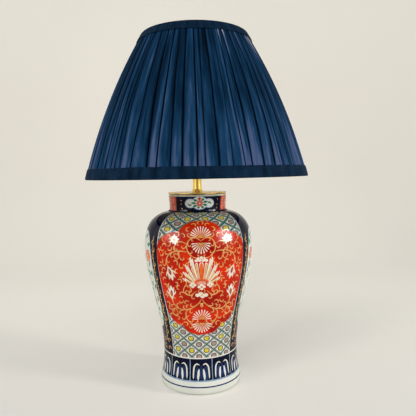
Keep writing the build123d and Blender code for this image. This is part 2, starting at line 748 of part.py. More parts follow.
def make_parts():
    parts = {
        "vase": make_vase(),
        "foot_felt": make_foot_felt(),
        "cord_grommet": make_grommet(),
        "vase_cap": make_cap(),
        "cap_gasket": make_cap_gasket(),
        "stem_nut": hexagon_nut(STEM_NUT_FLATS, cap_top_z, STEM_NUT_HEIGHT, rod_thread_radius),
        "stem_tube": ring(ROD_RADIUS + STEM_BORE_CLEARANCE, STEM_RADIUS, stem_z, holder_z),
        "holder_cup": make_cup(),
        "holder_lock_screw": lock_screw_space(0),
        "holder_shell": make_shell(),
        "holder_insulator": make_insulator(),
        "terminal_screws": make_terminals(),
        "screw_shell": ring(
            SCREW_SHELL_RADIUS - SCREW_SHELL_WALL, SCREW_SHELL_RADIUS, socket_z, socket_z + SCREW_SHELL_HEIGHT
        ),
        "centre_contact": make_centre_contact(),
        "switch_bar": make_switch_bar(),
        "shade_ring_lower": make_shade_ring(lower_ring_z),
        "shade_ring_upper": make_shade_ring(upper_ring_z),
        "carrier_ring": ring(ring_bore, CARRIER_RING_RADIUS, carrier_z, upper_ring_z),
        "carrier_wires": make_carrier_wires(),
        "carrier_seat": make_seat(),
        "gimbal_ring": make_gimbal_ring(),
        "gimbal_pivots": pivot_bars(),
        "gimbal_arms": make_gimbal_arms(),
        "frame_top_hoop": make_hoop(top_wire_z),
        "frame_bottom_hoop": make_hoop(bottom_wire_z),
        "frame_struts": make_struts(),
        "shade_lining": make_lining(),
        "shade_cover": make_cover(),
        "top_trim": make_trim(shade_top_z, TOP_TRIM_HEIGHT, up=True),
        "bottom_trim": make_trim(shade_z, BOTTOM_TRIM_HEIGHT, up=False),
    }
    parts.update(make_base_hardware())
    parts.update(make_bulb())
    return parts


os.makedirs("parts", exist_ok=True)
for name, solid in make_parts().items():
    export_step(solid, f"parts/{name}.step")
print(f"shade from {shade_z:.1f} to {shade_top_z:.1f}, pivots at {pivot_z:.2f}, switch bar at {switch_z:.2f}")
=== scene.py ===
"""Porcelain table lamp: painted vase, gathered navy shade, brass fittings, floor, light and camera."""

import math
import random

import bmesh
import bpy
import numpy as np
from mathutils import Matrix, Vector, geometry


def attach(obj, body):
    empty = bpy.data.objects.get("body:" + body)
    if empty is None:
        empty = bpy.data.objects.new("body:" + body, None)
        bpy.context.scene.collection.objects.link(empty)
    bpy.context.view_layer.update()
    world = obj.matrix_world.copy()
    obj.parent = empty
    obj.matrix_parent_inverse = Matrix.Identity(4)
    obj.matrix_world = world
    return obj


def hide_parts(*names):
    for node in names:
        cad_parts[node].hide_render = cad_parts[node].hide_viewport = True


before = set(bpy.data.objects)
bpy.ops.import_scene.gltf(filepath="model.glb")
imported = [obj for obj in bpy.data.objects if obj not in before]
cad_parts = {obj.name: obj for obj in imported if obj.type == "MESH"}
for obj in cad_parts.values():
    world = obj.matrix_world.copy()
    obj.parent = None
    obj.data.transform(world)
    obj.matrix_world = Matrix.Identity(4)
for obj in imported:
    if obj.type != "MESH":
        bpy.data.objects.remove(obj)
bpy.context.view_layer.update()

MM = 0.001

# Camera, from the ellipses of the photograph
CAMERA_DISTANCE = 0.878
CAMERA_HEIGHT = 0.383
CAMERA_YAW = 1.34
CAMERA_ROLL = 1.15
IMAGE_PIXELS = 416
FOCAL_PIXELS = 470.5
HORIZON_RISE_PIXELS = 35.75  # horizon above the middle of the picture
SENSOR = 36.0

# Strength of the sky on matt surfaces and as the camera sees it
SKY = 0.34
SKY_SEEN = 0.75
# Strength of the room that glazes and metals mirror, by how far the mirrored ray heads to either side
MIRRORED_ROOM = ((0.0, 0.3), (0.44, 0.45), (0.66, 1.5), (0.94, 1.45), (1.0, 0.5))
# Brightness that the paper keeps for itself in the picture, from the floor in front of the lamp up the wall
PAPER_LIFT = ((0.0, (0.06, 0.1, 0.15)), (0.14, (0.19, 0.2, 0.21)), (0.31, (0.34, 0.34, 0.32)),
              (0.74, (0.36, 0.35, 0.32)), (1.0, (0.41, 0.4, 0.37)))
PAPER_LIFT_START = 0.5  # metres in front of the lamp
PAPER_LIFT_RATE = 0.28  # along those steps, to the metre

# Side of the vase, as curve control points (radius, height) from the foot up
VASE_SIDE = [
    [(68.5, 1), (73.3, 1), (73.3, 4.85), (73.3, 12)],
    [(73.3, 12), (73.3, 18), (67.2, 24), (67.2, 62)],
    [(67.2, 62), (67.2, 124), (99.7, 193.6), (99.7, 250)],
    [(99.7, 250), (99.7, 289.7), (81.9, 309.2), (54, 313)],
    [(54, 313), (52.2, 313), (52.2, 317.8), (52.2, 325)],
    [(52.2, 325), (52.7, 330.8), (53.2, 336.6), (53.7, 342.4)],
    [(53.7, 342.4), (53.7, 343.3), (53, 344), (52.1, 344)],
]
# Hidden surfaces of the vase, from the rim down the inside and under the foot
VASE_INSIDE = [(52.1, 344), (47.3, 344), (45.7, 342.4), (45.7, 306.5), (72, 303), (91, 283), (93.2, 250),
               (90, 200), (78, 140), (65, 95), (60.7, 62), (60.7, 36), (58, 29), (51.7, 27), (5.6, 27),
               (5.6, 19), (58, 19), (58, 1), (68.5, 1)]
RECESS_TOP = (58, 19)
RECESS_FOOT = (58, 1)
INLET_HEIGHT = 11.5
INLET_RADIUS = 4.6
INLET_WALL = 73.3  # radius of the foot where the inlet passes
# Bake map: the painted side fills it above the floor, and the hidden surfaces lie in strips below
BAKE_FLOOR = 0.12
BAKE_STRIP = 0.006  # from one strip of the inside to the next
BAKE_STRIP_HEIGHT = 0.005
BAKE_RECESS = 0.1
BAKE_INLET = (0.5, 0.118)
BAKE_SMALL = 0.001  # size of the inlet's faces, and of a millimetre up the recess
WELD = 0.00002  # in metres
SHARP_EDGE = 35.0  # in degrees

# Shade, as its frame is made
SHADE_LOW = 373.3
SHADE_HIGH = 636.8
SHADE_LOW_RADIUS = 201.8
SHADE_HIGH_RADIUS = 97.4
SHADE_BOW = 10.4
TOP_BAND = 16.5
BOTTOM_BAND = 19.0
CLOTH_LOW = 374.6
CLOTH_HIGH = 635.5
CLOTH_THICKNESS = 0.4
PLEATS = 68
FOLD_CLOTH = 24.2  # cloth across one fold and its tucks, without the depth of its creases
FOLD_FLOOR = 3.3  # depth of the creases
FOLD_WIDTHS = (0.5, 1.5)  # least and greatest, before they are scaled to fill the turn
FOLD_SWAY = 0.2  # how far a fold wanders, over its mean width
FOLD_TUCK = (0.03, 0.38)  # least and greatest cloth under a fold's edge, over its width
FOLD_EDGE = (0.03, 0.11)  # where a fold starts, over its width
FOLD_BULGE = (0.25, 0.7)
LINING_DEPTHS = (7.95, 8.4)  # outer and inner face
BAND_OUT = -1.1  # depth of the outer leg's face
BAND_BACK = 9.6  # depth of the inner leg's face
BAND_RIM = 0.1  # how far the fold stays inside the edge
BAND_THICKNESS = 0.8
BAND_BEND = 1.6  # radius of the fold
BAND_BEND_CUT = 0.5  # how far the fold's rounding stays off its corner
BAND_INNER_LEG = 10.5
ARM_HEIGHT = 575.2
ARM_SLIT = 5.0

# Plan of the painting: ROUND millimetres to the radian round the vase, and true distance up its side
ROUND = 90.0
SEAM = -90.0  # degrees from the front, where the plan starts
FRONT = 2.5  # the front panel's middle, in degrees to the right
FACES = (FRONT, FRONT + 180)
PANEL = 47.5  # half width of the front panel, in degrees
SHOULDER = 200.0  # the lattice is closer above this
NECK_FOOT = 341.0
LIP = 370.5
FOOT_BAND_LOW = 27.5
FOOT_BAND_HIGH = 63.7
MESH_STEP = 4.5
SAME_POINT = 0.01  # points of the plan that are closer than this are one


# Colours and shaders


def srgb(red, green, blue):
    """Linear colour, with alpha, of an sRGB colour in 0 to 255."""

    def linear(value):
        value /= 255
        return value / 12.92 if value <= 0.04045 else ((value + 0.055) / 1.055) ** 2.4

    return (linear(red), linear(green), linear(blue), 1.0)


class Shading:
    """Node tree of a material or a world; a socket takes a plain value or another node's output."""

    def __init__(self, owner, end):
        owner.use_nodes = True
        self.owner = owner
        self.tree = owner.node_tree
        self.end = self.tree.nodes[end]

    def plug(self, socket, value):
        if isinstance(value, bpy.types.NodeSocket):
            self.tree.links.new(value, socket)
        else:
            socket.default_value = value

    def feed(self, node, **sockets):
        for name, value in sockets.items():
            self.plug(node.inputs[name.replace("_", " ")], value)
        return node

    def finish(self, **sockets):
        """Feeds the shader at the end of the tree and returns the tree's owner."""
        self.feed(self.end, **sockets)
        return self.owner

    def node(self, kind, **sockets):
        return self.feed(self.tree.nodes.new("ShaderNode" + kind), **sockets)

    def place(self):
        return self.node("TexCoord").outputs["Object"]

    def weave(self):
        """Coordinates round and along the cloth."""
        made = self.node("UVMap")
        made.uv_map = "weave"
        return made.outputs["UV"]

    def noise(self, vector, scale, detail=4.0):
        return self.node("TexNoise", Vector=vector, Scale=scale, Detail=detail).outputs["Fac"]

    def streaks(self, stretch):
        """Noise drawn out along the cloth's folds."""
        mapping = self.node("Mapping", Vector=self.weave(), Scale=stretch)
        return self.noise(mapping.outputs["Vector"], 1.0, 3.0)

    def ramp(self, factor, *stops):
        """Ramp of (position, linear colour) stops."""
        made = self.node("ValToRGB", Fac=factor)
        elements = made.color_ramp.elements
        while len(elements) < len(stops):
            elements.new(0.5)
        for element, (position, colour) in zip(elements, stops):
            element.position = position
            element.color = colour
        return made.outputs["Color"]

    def tones(self, factor, *stops):
        """Ramp of (position, sRGB colour in 0 to 255) stops."""
        return self.ramp(factor, *((position, srgb(*colour)) for position, colour in stops))

    def levels(self, factor, *stops):
        """Ramp of (position, level) stops."""
        return self.ramp(factor, *((position, (level, level, level, 1.0)) for position, level in stops))

    def calc(self, operation, *values):
        made = self.node("Math")
        made.operation = operation
        for socket, value in zip(made.inputs, values):
            self.plug(socket, value)
        return made.outputs["Value"]

    def bump(self, height, strength, distance):
        made = self.node("Bump", Height=height, Strength=strength, Distance=distance)
        self.finish(Normal=made.outputs["Normal"])


def surface(name, **sockets):
    """Shading of a new material, with plain sockets of its shader set."""
    made = Shading(bpy.data.materials.new(name), "Principled BSDF")
    made.finish(**sockets)
    return made


def enamel(name, colour, other, scale=60.0, roughness=0.1, metallic=0.0, gloss=0.3):
    """Glazed colour that pools unevenly between two tones, under a faintly rippled glaze."""
    made = surface(name, Roughness=roughness, Metallic=metallic, Specular_IOR_Level=gloss)
    where = made.place()
    made.bump(made.noise(where, 90.0, 2.0), 0.05, 0.0006)
    return made.finish(Base_Color=made.tones(made.noise(where, scale), (0.35, other), (0.62, colour)))


ENAMELS = {
    "glaze": enamel("porcelain_glaze", (230, 234, 226), (222, 228, 220), 25.0),
    "cobalt": enamel("cobalt", (6, 12, 46), (1, 4, 22), 45.0, 0.08, gloss=0.1),
    "blue": enamel("cobalt_wash", (23, 54, 114), (8, 28, 74), 150.0),
    "pale_blue": enamel("cobalt_thin", (150, 176, 206), (112, 144, 186), 200.0),
    "red": enamel("iron_red", (227, 45, 0), (166, 8, 0), 30.0, 0.2, gloss=0.14),
    "deep_red": enamel("iron_red_deep", (186, 16, 0), (148, 4, 0), 30.0, 0.2, gloss=0.14),
    "coral": enamel("coral_red", (222, 92, 58), (196, 64, 40), 160.0),
    "tan": enamel("tan_gold", (234, 186, 112), (216, 160, 86), 220.0),
    "orange": enamel("orange", (244, 116, 40), (232, 86, 20), 120.0),
    "white": enamel("petal_white", (246, 240, 226), (238, 222, 200), 240.0),
    "pink": enamel("petal_pink", (236, 176, 150), (224, 140, 112), 240.0),
    "teal": enamel("teal_green", (30, 124, 112), (14, 84, 82), 200.0),
    "dark": enamel("outline_dark", (30, 44, 58), (20, 28, 36), 200.0),
    "yellow": enamel("yellow", (226, 214, 76), (204, 188, 52), 240.0),
    "stone": enamel("stone_pink", (176, 156, 148), (150, 128, 122), 240.0),
    "brown": enamel("outline_brown", (74, 52, 46), (56, 38, 34), 240.0),
    "green": enamel("leaf_green", (46, 136, 104), (26, 104, 80), 200.0),
    "pale_green": enamel("leaf_wash", (156, 200, 172), (120, 176, 146), 160.0),
    "gilt": enamel("gilding", (230, 182, 100), (204, 150, 70), 260.0, 0.28, 0.35),
}


# Brush shapes, as outlines of complex numbers in millimetres: real part across, imaginary part up


def turns(count, start=0.0):
    """Angles of one turn in equal steps."""
    return np.linspace(start, start + 2 * np.pi, count, endpoint=False)


def ellipse(across, up, count=16):
    turn = turns(count)
    return across * np.cos(turn) + 1j * up * np.sin(turn)


def tongue(length, root, tip):
    """Petal from the origin upwards, with straight sides and a round end; root and tip are half widths."""
    cap = tip * np.exp(1j * np.linspace(0, np.pi, 5)) + 1j * (length - tip)
    return np.concatenate([[root], cap, [-root]])


def bezier(a, b, c, d, count=12):
    t = np.linspace(0, 1, count)
    return (1 - t) ** 3 * a + 3 * t * (1 - t) ** 2 * b + 3 * t * t * (1 - t) * c + t**3 * d


def through(*points, step=3.0):
    """Smooth path through the points."""
    knots = np.array([points[0], *points, points[-1]], complex)
    path = []
    for a, b, c, d in zip(knots, knots[1:], knots[2:], knots[3:]):
        count = max(3, int(abs(c - b) / step) + 1)
        path.append(bezier(b, b + (c - a) / 6, c - (d - b) / 6, c, count)[:-1])
    return np.concatenate([*path, [knots[-1]]])


def spiral(radius, winds, start=0.0, end_share=0.25, count=14):
    """Path that winds inwards about the origin."""
    t = np.linspace(0, 1, count)
    return radius * (1 - (1 - end_share) * t) * np.exp(1j * (start + 2 * np.pi * winds * t))


def stroke(path, width, belly=0.5):
    """Outline of a brush stroke along a path: blunt at 0.0, and leaf shaped at a belly of 1.0."""
    t = np.linspace(0, 1, len(path))
    ease = np.sqrt(np.clip(np.minimum(t, 1 - t) * 8, 0.04, 1))
    half = width / 2 * ((1 - belly) * ease + belly * np.maximum(np.sin(np.pi * t), 0.08))
    along = np.gradient(path)
    side = 1j * along / np.abs(along)
    return np.concatenate([path + side * half, (path - side * half)[::-1]])


def mirrored(outline):
    return -np.conj(outline)


# The vase's side and the plan that is painted


def side_curve(count=60):
    """Radius, height and distance up the side, closely spaced."""
    points = []
    for a, b, c, d in VASE_SIDE:
        corners = [complex(*corner) for corner in (a, b, c, d)]
        points.append(bezier(*corners, count)[:-1])
    line = np.concatenate([*points, [complex(*VASE_SIDE[-1][-1])]])
    rise = np.concatenate([[0], np.cumsum(np.abs(np.diff(line)))])
    return line.real, line.imag, rise


SIDE_RADIUS, SIDE_HEIGHT, SIDE_RISE = side_curve()
SIDE_TOP = float(SIDE_RISE[-1])


def radius_at(rise):
    return np.interp(rise, SIDE_RISE, SIDE_RADIUS)


def on_side(x, rise):
    """Points of the vase's side, in metres, from the plan."""
    return round_axis(x / ROUND, radius_at(rise), np.interp(rise, SIDE_RISE, SIDE_HEIGHT))


class Painting:
    """Coloured outlines on the plan, each over those before it."""

    def __init__(self):
        self.shapes = []

    def on_plan(self, colour, x, y):
        """Adds an outline in plan millimetres, with a copy where it crosses the plan's ends."""
        turn = 2 * math.pi * ROUND
        left = math.radians(SEAM) * ROUND
        for shift in (-turn, 0, turn):
            if (x + shift).max() > left and (x + shift).min() < left + turn:
                self.shapes.append((colour, np.stack([x + shift, y], 1)))

    def at(self, colour, outline, angle, rise=0.0):
        """Adds a true-size outline whose origin is at an angle, in degrees, and a distance up the side."""
        y = rise + outline.imag
        self.on_plan(colour, ROUND * (math.radians(angle) + outline.real / radius_at(y)), y)

    def face(self, colour, outline):
        """Adds an outline to the front panel and to the back one."""
        for middle in FACES:
            self.at(colour, outline, middle)

    def pair(self, colour, outline):
        """Adds an outline and its mirror image to each panel."""
        self.face(colour, outline)
        self.face(colour, mirrored(outline))

    def block(self, colour, from_angle, to_angle, low, high, count=40):
        """Adds a field between two angles and two heights."""
        x = ROUND * np.radians(np.linspace(from_angle, to_angle, count))
        self.on_plan(colour, np.concatenate([x, x[::-1]]), np.repeat([low, high], count))

    def girdle(self, colour, low, high):
        self.block(colour, SEAM - 10, SEAM + 370, low, high)


def medallion():
    """Outline of the red medallion in (degrees, distance up the side), right half first."""
    quarter = np.linspace(0, np.pi / 2, 12)
    arc = np.linspace(np.pi / 2, 0.2, 14)
    top = 23.5 * np.cos(arc) + 1j * (286 + 26 * np.sin(arc))
    upper = 23.5 + 24.8 * np.sin(quarter) + 1j * (262 + 28.5 * np.cos(quarter))
    lower = 24.5 + 23 * np.cos(quarter) + 1j * (157 - 34 * np.sin(quarter))
    bottom = 25 * np.cos(arc[::-1]) + 1j * (124 - 16.5 * np.sin(arc[::-1]))
    right = np.concatenate([top, upper, lower, bottom])
    return np.concatenate([right, mirrored(right[1:-1])[::-1]])


MEDALLION = medallion()
MEDALLION_EDGE = np.stack([MEDALLION.real, MEDALLION.imag], 1)


def inside(x, y, outline):
    """Which of the points lie inside the outline."""
    hit = np.zeros(len(x), bool)
    for (x0, y0), (x1, y1) in zip(outline, np.roll(outline, -1, 0)):
        if y0 != y1:
            hit ^= ((y0 > y) != (y1 > y)) & (x < (x1 - x0) * (y - y0) / (y1 - y0) + x0)
    return hit


def leaf(base, tip, width, belly=1.0, count=9):
    """Straight brush stroke from base to tip."""
    outline = stroke(np.linspace(0, 1j, count), width, belly)
    reach = tip - base
    return base + reach * outline.imag + outline.real * reach / abs(reach) / 1j


def blade(base, tip, root, head):
    """Round-headed petal from base to tip; root and head are half widths."""
    reach = tip - base
    return base + tongue(abs(reach), root, head) * reach / abs(reach) / 1j


def bowed(outline, base, reach, share=0.09):
    """Petal outline that swings out to the right on the way from its base along its reach."""
    along = np.clip(((outline - base) / reach).real, 0.0, 1.0)
    return outline - 1j * share * reach * np.sin(np.pi * along)


def fan(art, middle, radius, facing, spread):
    """Chrysanthemum half: white petals on short tan stalks, opening towards the facing direction."""
    for turn in np.linspace(-spread / 2, spread / 2, 11):
        way = facing * np.exp(1j * turn)
        length = radius * (0.86 + 0.14 * math.cos(turn))
        art.face("tan", blade(middle + 1.2 * way, middle + 0.6 * length * way, 0.3, 0.5))
        art.face("white", blade(middle + 0.38 * length * way, middle + length * way, 0.35, 1.14))


def bud(art, core, tip):
    """White bud with a feathered edge and a red heart, and its mirror image."""
    way = (tip - core) / abs(tip - core)
    art.pair("white", leaf(core - 7.5 * way, tip, 11.0, count=13))
    for turn, share in ((-0.75, 0.72), (-0.35, 0.92), (0.35, 0.9), (0.75, 0.7)):
        end = core + abs(tip - core) * share * way * np.exp(1j * turn)
        path = bezier(core, core + 5 * way * np.exp(2j * turn), end - 4 * way, end, 8)
        art.pair("white", stroke(path, 2.4, 0.9))
    art.pair("deep_red", leaf(core - 3 * way, core + 10 * way, 5.4))
    art.pair("tan", leaf(core, core + 6 * way, 1.3, count=7))


def blossom(art, middle, radius, count=9):
    """Open white flower with a pink heart, and its mirror image."""
    for index, turn in enumerate(turns(count)):
        way = np.exp(1j * (turn + 0.2))
        length = radius * (1.0 - 0.2 * (index % 2))
        path = bezier(middle, middle + 0.4 * length * way * np.exp(0.4j), middle + 0.7 * length * way,
                      middle + length * way, 8)
        art.pair("white", stroke(path, 4.6, 0.9))
    art.pair("pink", ellipse(2.2, 2.2, 10) + middle)


def lotus(art):
    """The large flower in the middle of the medallion."""
    outer = ((11 + 200j, 30 + 212j, 2.3), (10 + 201.5j, 29 + 222.5j, 2.5), (8.5 + 203j, 25 + 234.5j, 2.8),
             (6 + 205j, 17 + 246.5j, 3.3))
    inner = ((9 + 203j, 21.5 + 221j, 2.0), (6.5 + 205j, 15.5 + 231.5j, 2.1), (3.6 + 207j, 8 + 239j, 2.3))
    for base, tip, head in outer:
        reach = tip - base
        way = reach / abs(reach)
        for colour, outline in (
            ("white", blade(base, tip, 1.1, head)),
            ("white", blade(base + 0.7 * reach, tip + (2.0 - 1.6j) * way, 1.6, 1.3)),
            ("red", blade(tip + (1.6 + 0.8j) * way, tip + (0.4j - 2.8) * way, 1.0, 0.3)),
            ("tan", blade(base, base + 0.74 * reach, 0.4, 1.1)),
        ):
            art.pair(colour, bowed(outline, base, reach))
    for base, tip, head in inner:
        reach = tip - base
        art.pair("white", bowed(blade(base, tip, 1.3, head), base, reach))
        art.pair("tan", bowed(blade(base, base + 0.95 * reach, 0.8, head - 0.8), base, reach))
    for middle in (0 + 247.5j, 5 + 245.5j, 8.5 + 242.5j, 3 + 243j):
        art.pair("white", ellipse(3.0, 2.5, 10) + middle)
    art.pair("pink", ellipse(1.0, 1.0, 8) + (3.5 + 245j))
    art.face("white", blade(210j, 240j, 2.4, 3.6))
    art.face("orange", leaf(208j, 239j, 6.6, 0.4, 13))
    art.face("orange", ellipse(12, 5.6, 18) + 205.5j)
    art.face("coral", ellipse(9.6, 5.4, 18) + 203.5j)
    art.face("pink", ellipse(7.8, 4.8, 16) + 202.5j)
    for middle in (11.5 + 200j, 18 + 200j, 15 + 202.8j, 14.8 + 197j, 4.2 + 196.5j, 0 + 199.2j, 0 + 193.2j):
        art.pair("white", ellipse(2.9, 2.4, 10) + middle)
    art.face("coral", ellipse(1.8, 1.5, 8) + 196.5j)
    art.pair("tan", ellipse(1.5, 1.2, 8) + (15 + 199.8j))


def vines(art):
    """Gold stems of the medallion, as points and a width; returns the places that they take."""
    stems = (
        ((0 + 274.5j, 6 + 279.5j, 14 + 281j, 23.5 + 271j, 22.5 + 257.5j, 14 + 249j), 1.7),
        ((24 + 257j, 39 + 258.5j, 55 + 253.5j, 63 + 241j, 59 + 230j), 1.8),
        ((39 + 258.5j, 37.5 + 250j, 41 + 244.5j, 46 + 247j), 1.4),
        ((0 + 175j, 6.5 + 165j, 20 + 156j, 35.5 + 154j, 48.5 + 162j, 55 + 174j), 1.7),
        ((35.5 + 154j, 44 + 156j, 53 + 151j, 50 + 142j, 42 + 144j, 43 + 150j), 1.5),
        ((20 + 156j, 27 + 150j, 25 + 136j, 15.5 + 127j, 5 + 133j), 1.5),
        ((8 + 190j, 20 + 181j, 31 + 188j, 27 + 199j, 18.5 + 195j, 21 + 188.5j), 1.5),
        ((3 + 194j, 5.5 + 188j, 2.5 + 183j), 1.3),
        ((24.5 + 270j, 33 + 274j, 42 + 272j, 47 + 263j, 40 + 262j), 1.3),
    )
    spots = []
    for points, width in stems:
        path = through(*points)
        art.pair("tan", stroke(path, width, 0.25))
        spots += [*path]
        spots += hooks(art, path)
    return spots


def hooks(art, path, gap=8.0):
    """Curled leaves along a stem, to its left and right in turn; returns where they end."""
    along = np.concatenate([[0], np.cumsum(np.abs(np.diff(path)))])
    ends = []
    for index, at in enumerate(np.arange(gap, along[-1], gap)):
        root = np.interp(at, along, path)
        way = np.interp(at + 0.5, along, path) - np.interp(at - 0.5, along, path)
        hook = through(0, 4.2 + 1.2j, 7.6 + 4.2j, 6.2 + 7.8j, 3.2 + 6.8j, step=1.8)
        hook = root + (hook if index % 2 else np.conj(hook)) * way / abs(way)
        if hook.real.min() > 0.8 and all(on_red(hook)):
            art.pair("tan", stroke(hook, 1.7, 0.55))
            ends += [*hook]
    return ends


def on_red(places):
    """Which places of a panel, in millimetres from its middle, lie well inside the medallion."""
    grown = np.degrees((places.real + 2.5) / radius_at(places.imag))
    return inside(grown, places.imag, MEDALLION_EDGE)


def curls(art, spots):
    """Small gold commas that fill the red ground between the stems and the flowers."""
    pick = random.Random(7)
    # Circles (across, up, radius) that the flowers take
    taken = ((0, 284, 20), (0, 268, 18), (0, 224, 21), (20, 222, 16), (0, 199, 20), (0, 181, 9), (0, 143, 18),
             (0, 124, 17), (55, 216, 13), (54, 185, 13), (46, 277, 11))
    spots = np.array(spots)
    step = 5.0
    for least, most in ((5.0, 6.0), (3.4, 4.4)):
        for row, column in np.ndindex(46, 17):
            place = complex(step * (column + 0.5 * (row % 2) + 0.5), 108 + step * 0.9 * row)
            place += complex(pick.uniform(-1.2, 1.2), pick.uniform(-1.2, 1.2))
            size = pick.uniform(least, most)
            path = place + spiral(size, pick.choice((-0.62, 0.62, 0.56)), pick.uniform(0, 6.3), 0.34, 11)
            clear = all(abs(place - complex(x, y)) > r for x, y, r in taken)
            if clear and abs(spots - place).min() > 0.8 * size + 1.6 and all(on_red(path)):
                art.pair("tan", stroke(path, 2.0, 0.5))
                spots = np.concatenate([spots, path])


def lattice(art):
    """Diaper of white lozenges with yellow and stone dots over a teal trellis."""
    pitch, row_rise, first, lead, reach = 22.0, 10.8, 56.9, 6.4, 9
    for middle in FACES:
        art.block("teal", middle - PANEL - 6, middle + PANEL + 6, FOOT_BAND_HIGH - 4, NECK_FOOT + 3)
        for row in range(28):
            rise = first + row_rise * row
            colour = "yellow" if row % 2 == 0 else "stone"
            shift = lead if row % 2 == 0 else lead - pitch / 2
            for column in range(-3, 4):
                angle = shift + pitch * column
                corners = np.array([(-reach, 0), (reach, 0), (0, reach), (0, -reach)]) + (angle, rise)
                hidden = inside(corners[:, 0], corners[:, 1], MEDALLION_EDGE).all()
                if hidden or abs(angle) > PANEL + reach or rise > NECK_FOOT:
                    continue
                half = math.radians(pitch / 2) * radius_at(rise)
                lozenge = np.array([half, 1j * row_rise, -half, -1j * row_rise])
                if rise > SHOULDER:
                    lozenge *= 0.93
                for scale, tone in ((0.95, "dark"), (0.89, "glaze"), (0.83, "dark"), (0.75, "glaze")):
                    art.at(tone, lozenge * scale, middle + angle, rise)
                art.at("brown", ellipse(0.42 * half, 0.45 * row_rise), middle + angle, rise)
                art.at(colour, ellipse(0.3 * half, 0.33 * row_rise), middle + angle, rise)


def side_fields(art):
    """Cobalt bands with gold scrolls, and white reserves with flowering branches, between the two panels."""
    half_angle, half_height, reserve_middle = 31.5, 91, 198
    across, up = np.cos(turns(72)), np.sin(turns(72))
    bend = np.sign(across) * np.abs(across) ** 0.4 + 1j * np.sign(up) * np.abs(up) ** 0.55
    for middle in FACES:
        centre = middle + 90
        for tone, half in (("glaze", 90), ("cobalt", 89.2)):
            art.block(tone, centre - half + PANEL, centre + half - PANEL, FOOT_BAND_HIGH - 4, NECK_FOOT + 5)
        for side in (-1, 1):
            for step in range(15):
                rise = 92 + 12.6 * step
                scroll = stroke(spiral(4.8, 0.85 * (-1) ** step, 1.2, 0.3), 1.9, 0.4)
                link = stroke(bezier(-2 - 6j, 3 - 3j, -3 + 3j, 2 + 6j, 8), 1.7, 0.8)
                lean = 89 - PANEL - 6.8 - 4.5 * max(0, (130 - rise) / 40)
                art.at("gilt", scroll, centre + side * lean, rise)
                art.at("gilt", link, centre + side * lean, rise + 6.3)
        for step in range(7):
            for rise in (75, 88):
                outline = stroke(spiral(4.6, 0.85 * (-1) ** step, rise, 0.3), 1.6, 0.4)
                art.at("gilt", outline, centre + 11.5 * (step - 3), rise + 2 * (step % 2))
        for grow, tone in ((1.0, "pale_blue"), (0.97, "glaze")):
            x = ROUND * np.radians(centre + half_angle * grow * bend.real)
            art.on_plan(tone, x, reserve_middle + half_height * (1 - (1 - grow) * 0.4) * bend.imag)
        branch(art, centre)


def branch(art, centre):
    """Flowering branch in a white reserve."""
    stems = ((-8 + 120j, 4 + 150j, -6 + 185j, 6 + 220j, -2 + 262j), (0 + 165j, 22 + 190j, 30 + 225j),
             (-2 + 200j, -24 + 222j, -34 + 250j), (2 + 135j, -20 + 150j, -30 + 178j),
             (2 + 140j, 24 + 150j, 33 + 160j))
    for stem in stems:
        art.at("green", stroke(through(*stem, step=6.0), 1.6, 0.4), centre)
    # Leaves: across, up and the way they point, in radians
    sprigs = (
        (-35, 268, 1.9), (-26, 275, 1.2), (-12, 272, 2.2), (4, 276, 1.3), (16, 270, 0.8), (30, 272, 1.2),
        (38, 262, 0.4), (-38, 262, 2.6), (26, 212, 0.3), (34, 206, 0.9), (-16, 206, 2.4), (-34, 214, 2.0),
        (-38, 196, 1.2), (20, 178, 0.4), (34, 186, 1.3), (-24, 172, 2.6), (-36, 162, 1.8), (14, 130, 0.4),
        (28, 138, 1.1), (-14, 134, 2.5), (-27, 140, 1.4), (40, 222, 1.4), (-10, 160, 2.2), (10, 236, 0.7),
        (42, 258, 1.0), (-42, 258, 2.1), (44, 206, 1.5), (-44, 206, 1.7), (42, 182, 1.2), (-42, 182, 1.9),
        (38, 158, 1.4), (-40, 220, 1.8), (-38, 142, 1.7), (40, 136, 1.4), (34, 120, 1.2), (-34, 120, 1.9),
    )
    for x, rise, way in sprigs:
        path = bezier(0, 4 * np.exp(1j * (way + 0.4)), 9 * np.exp(1j * way), 13 * np.exp(1j * (way - 0.2)), 9)
        for tone, width in (("pale_green", 6.2), ("green", 3.0)):
            art.at(tone, stroke(path, width, 1.0) + x + 1j * rise, centre)
    for x, rise, size in ((38, 243, 11), (-38, 243, 11), (0, 248, 12), (-4, 184, 9), (22, 160, 7)):
        for turn in turns(6):
            middle = x + 1j * rise + 0.6 * size * np.exp(1j * turn)
            art.at("orange", ellipse(0.45 * size, 0.45 * size, 12) + middle, centre)
            art.at("pink", ellipse(0.22 * size, 0.22 * size, 8) + middle, centre)
        art.at("yellow", ellipse(0.24 * size, 0.24 * size, 10) + x + 1j * rise, centre)


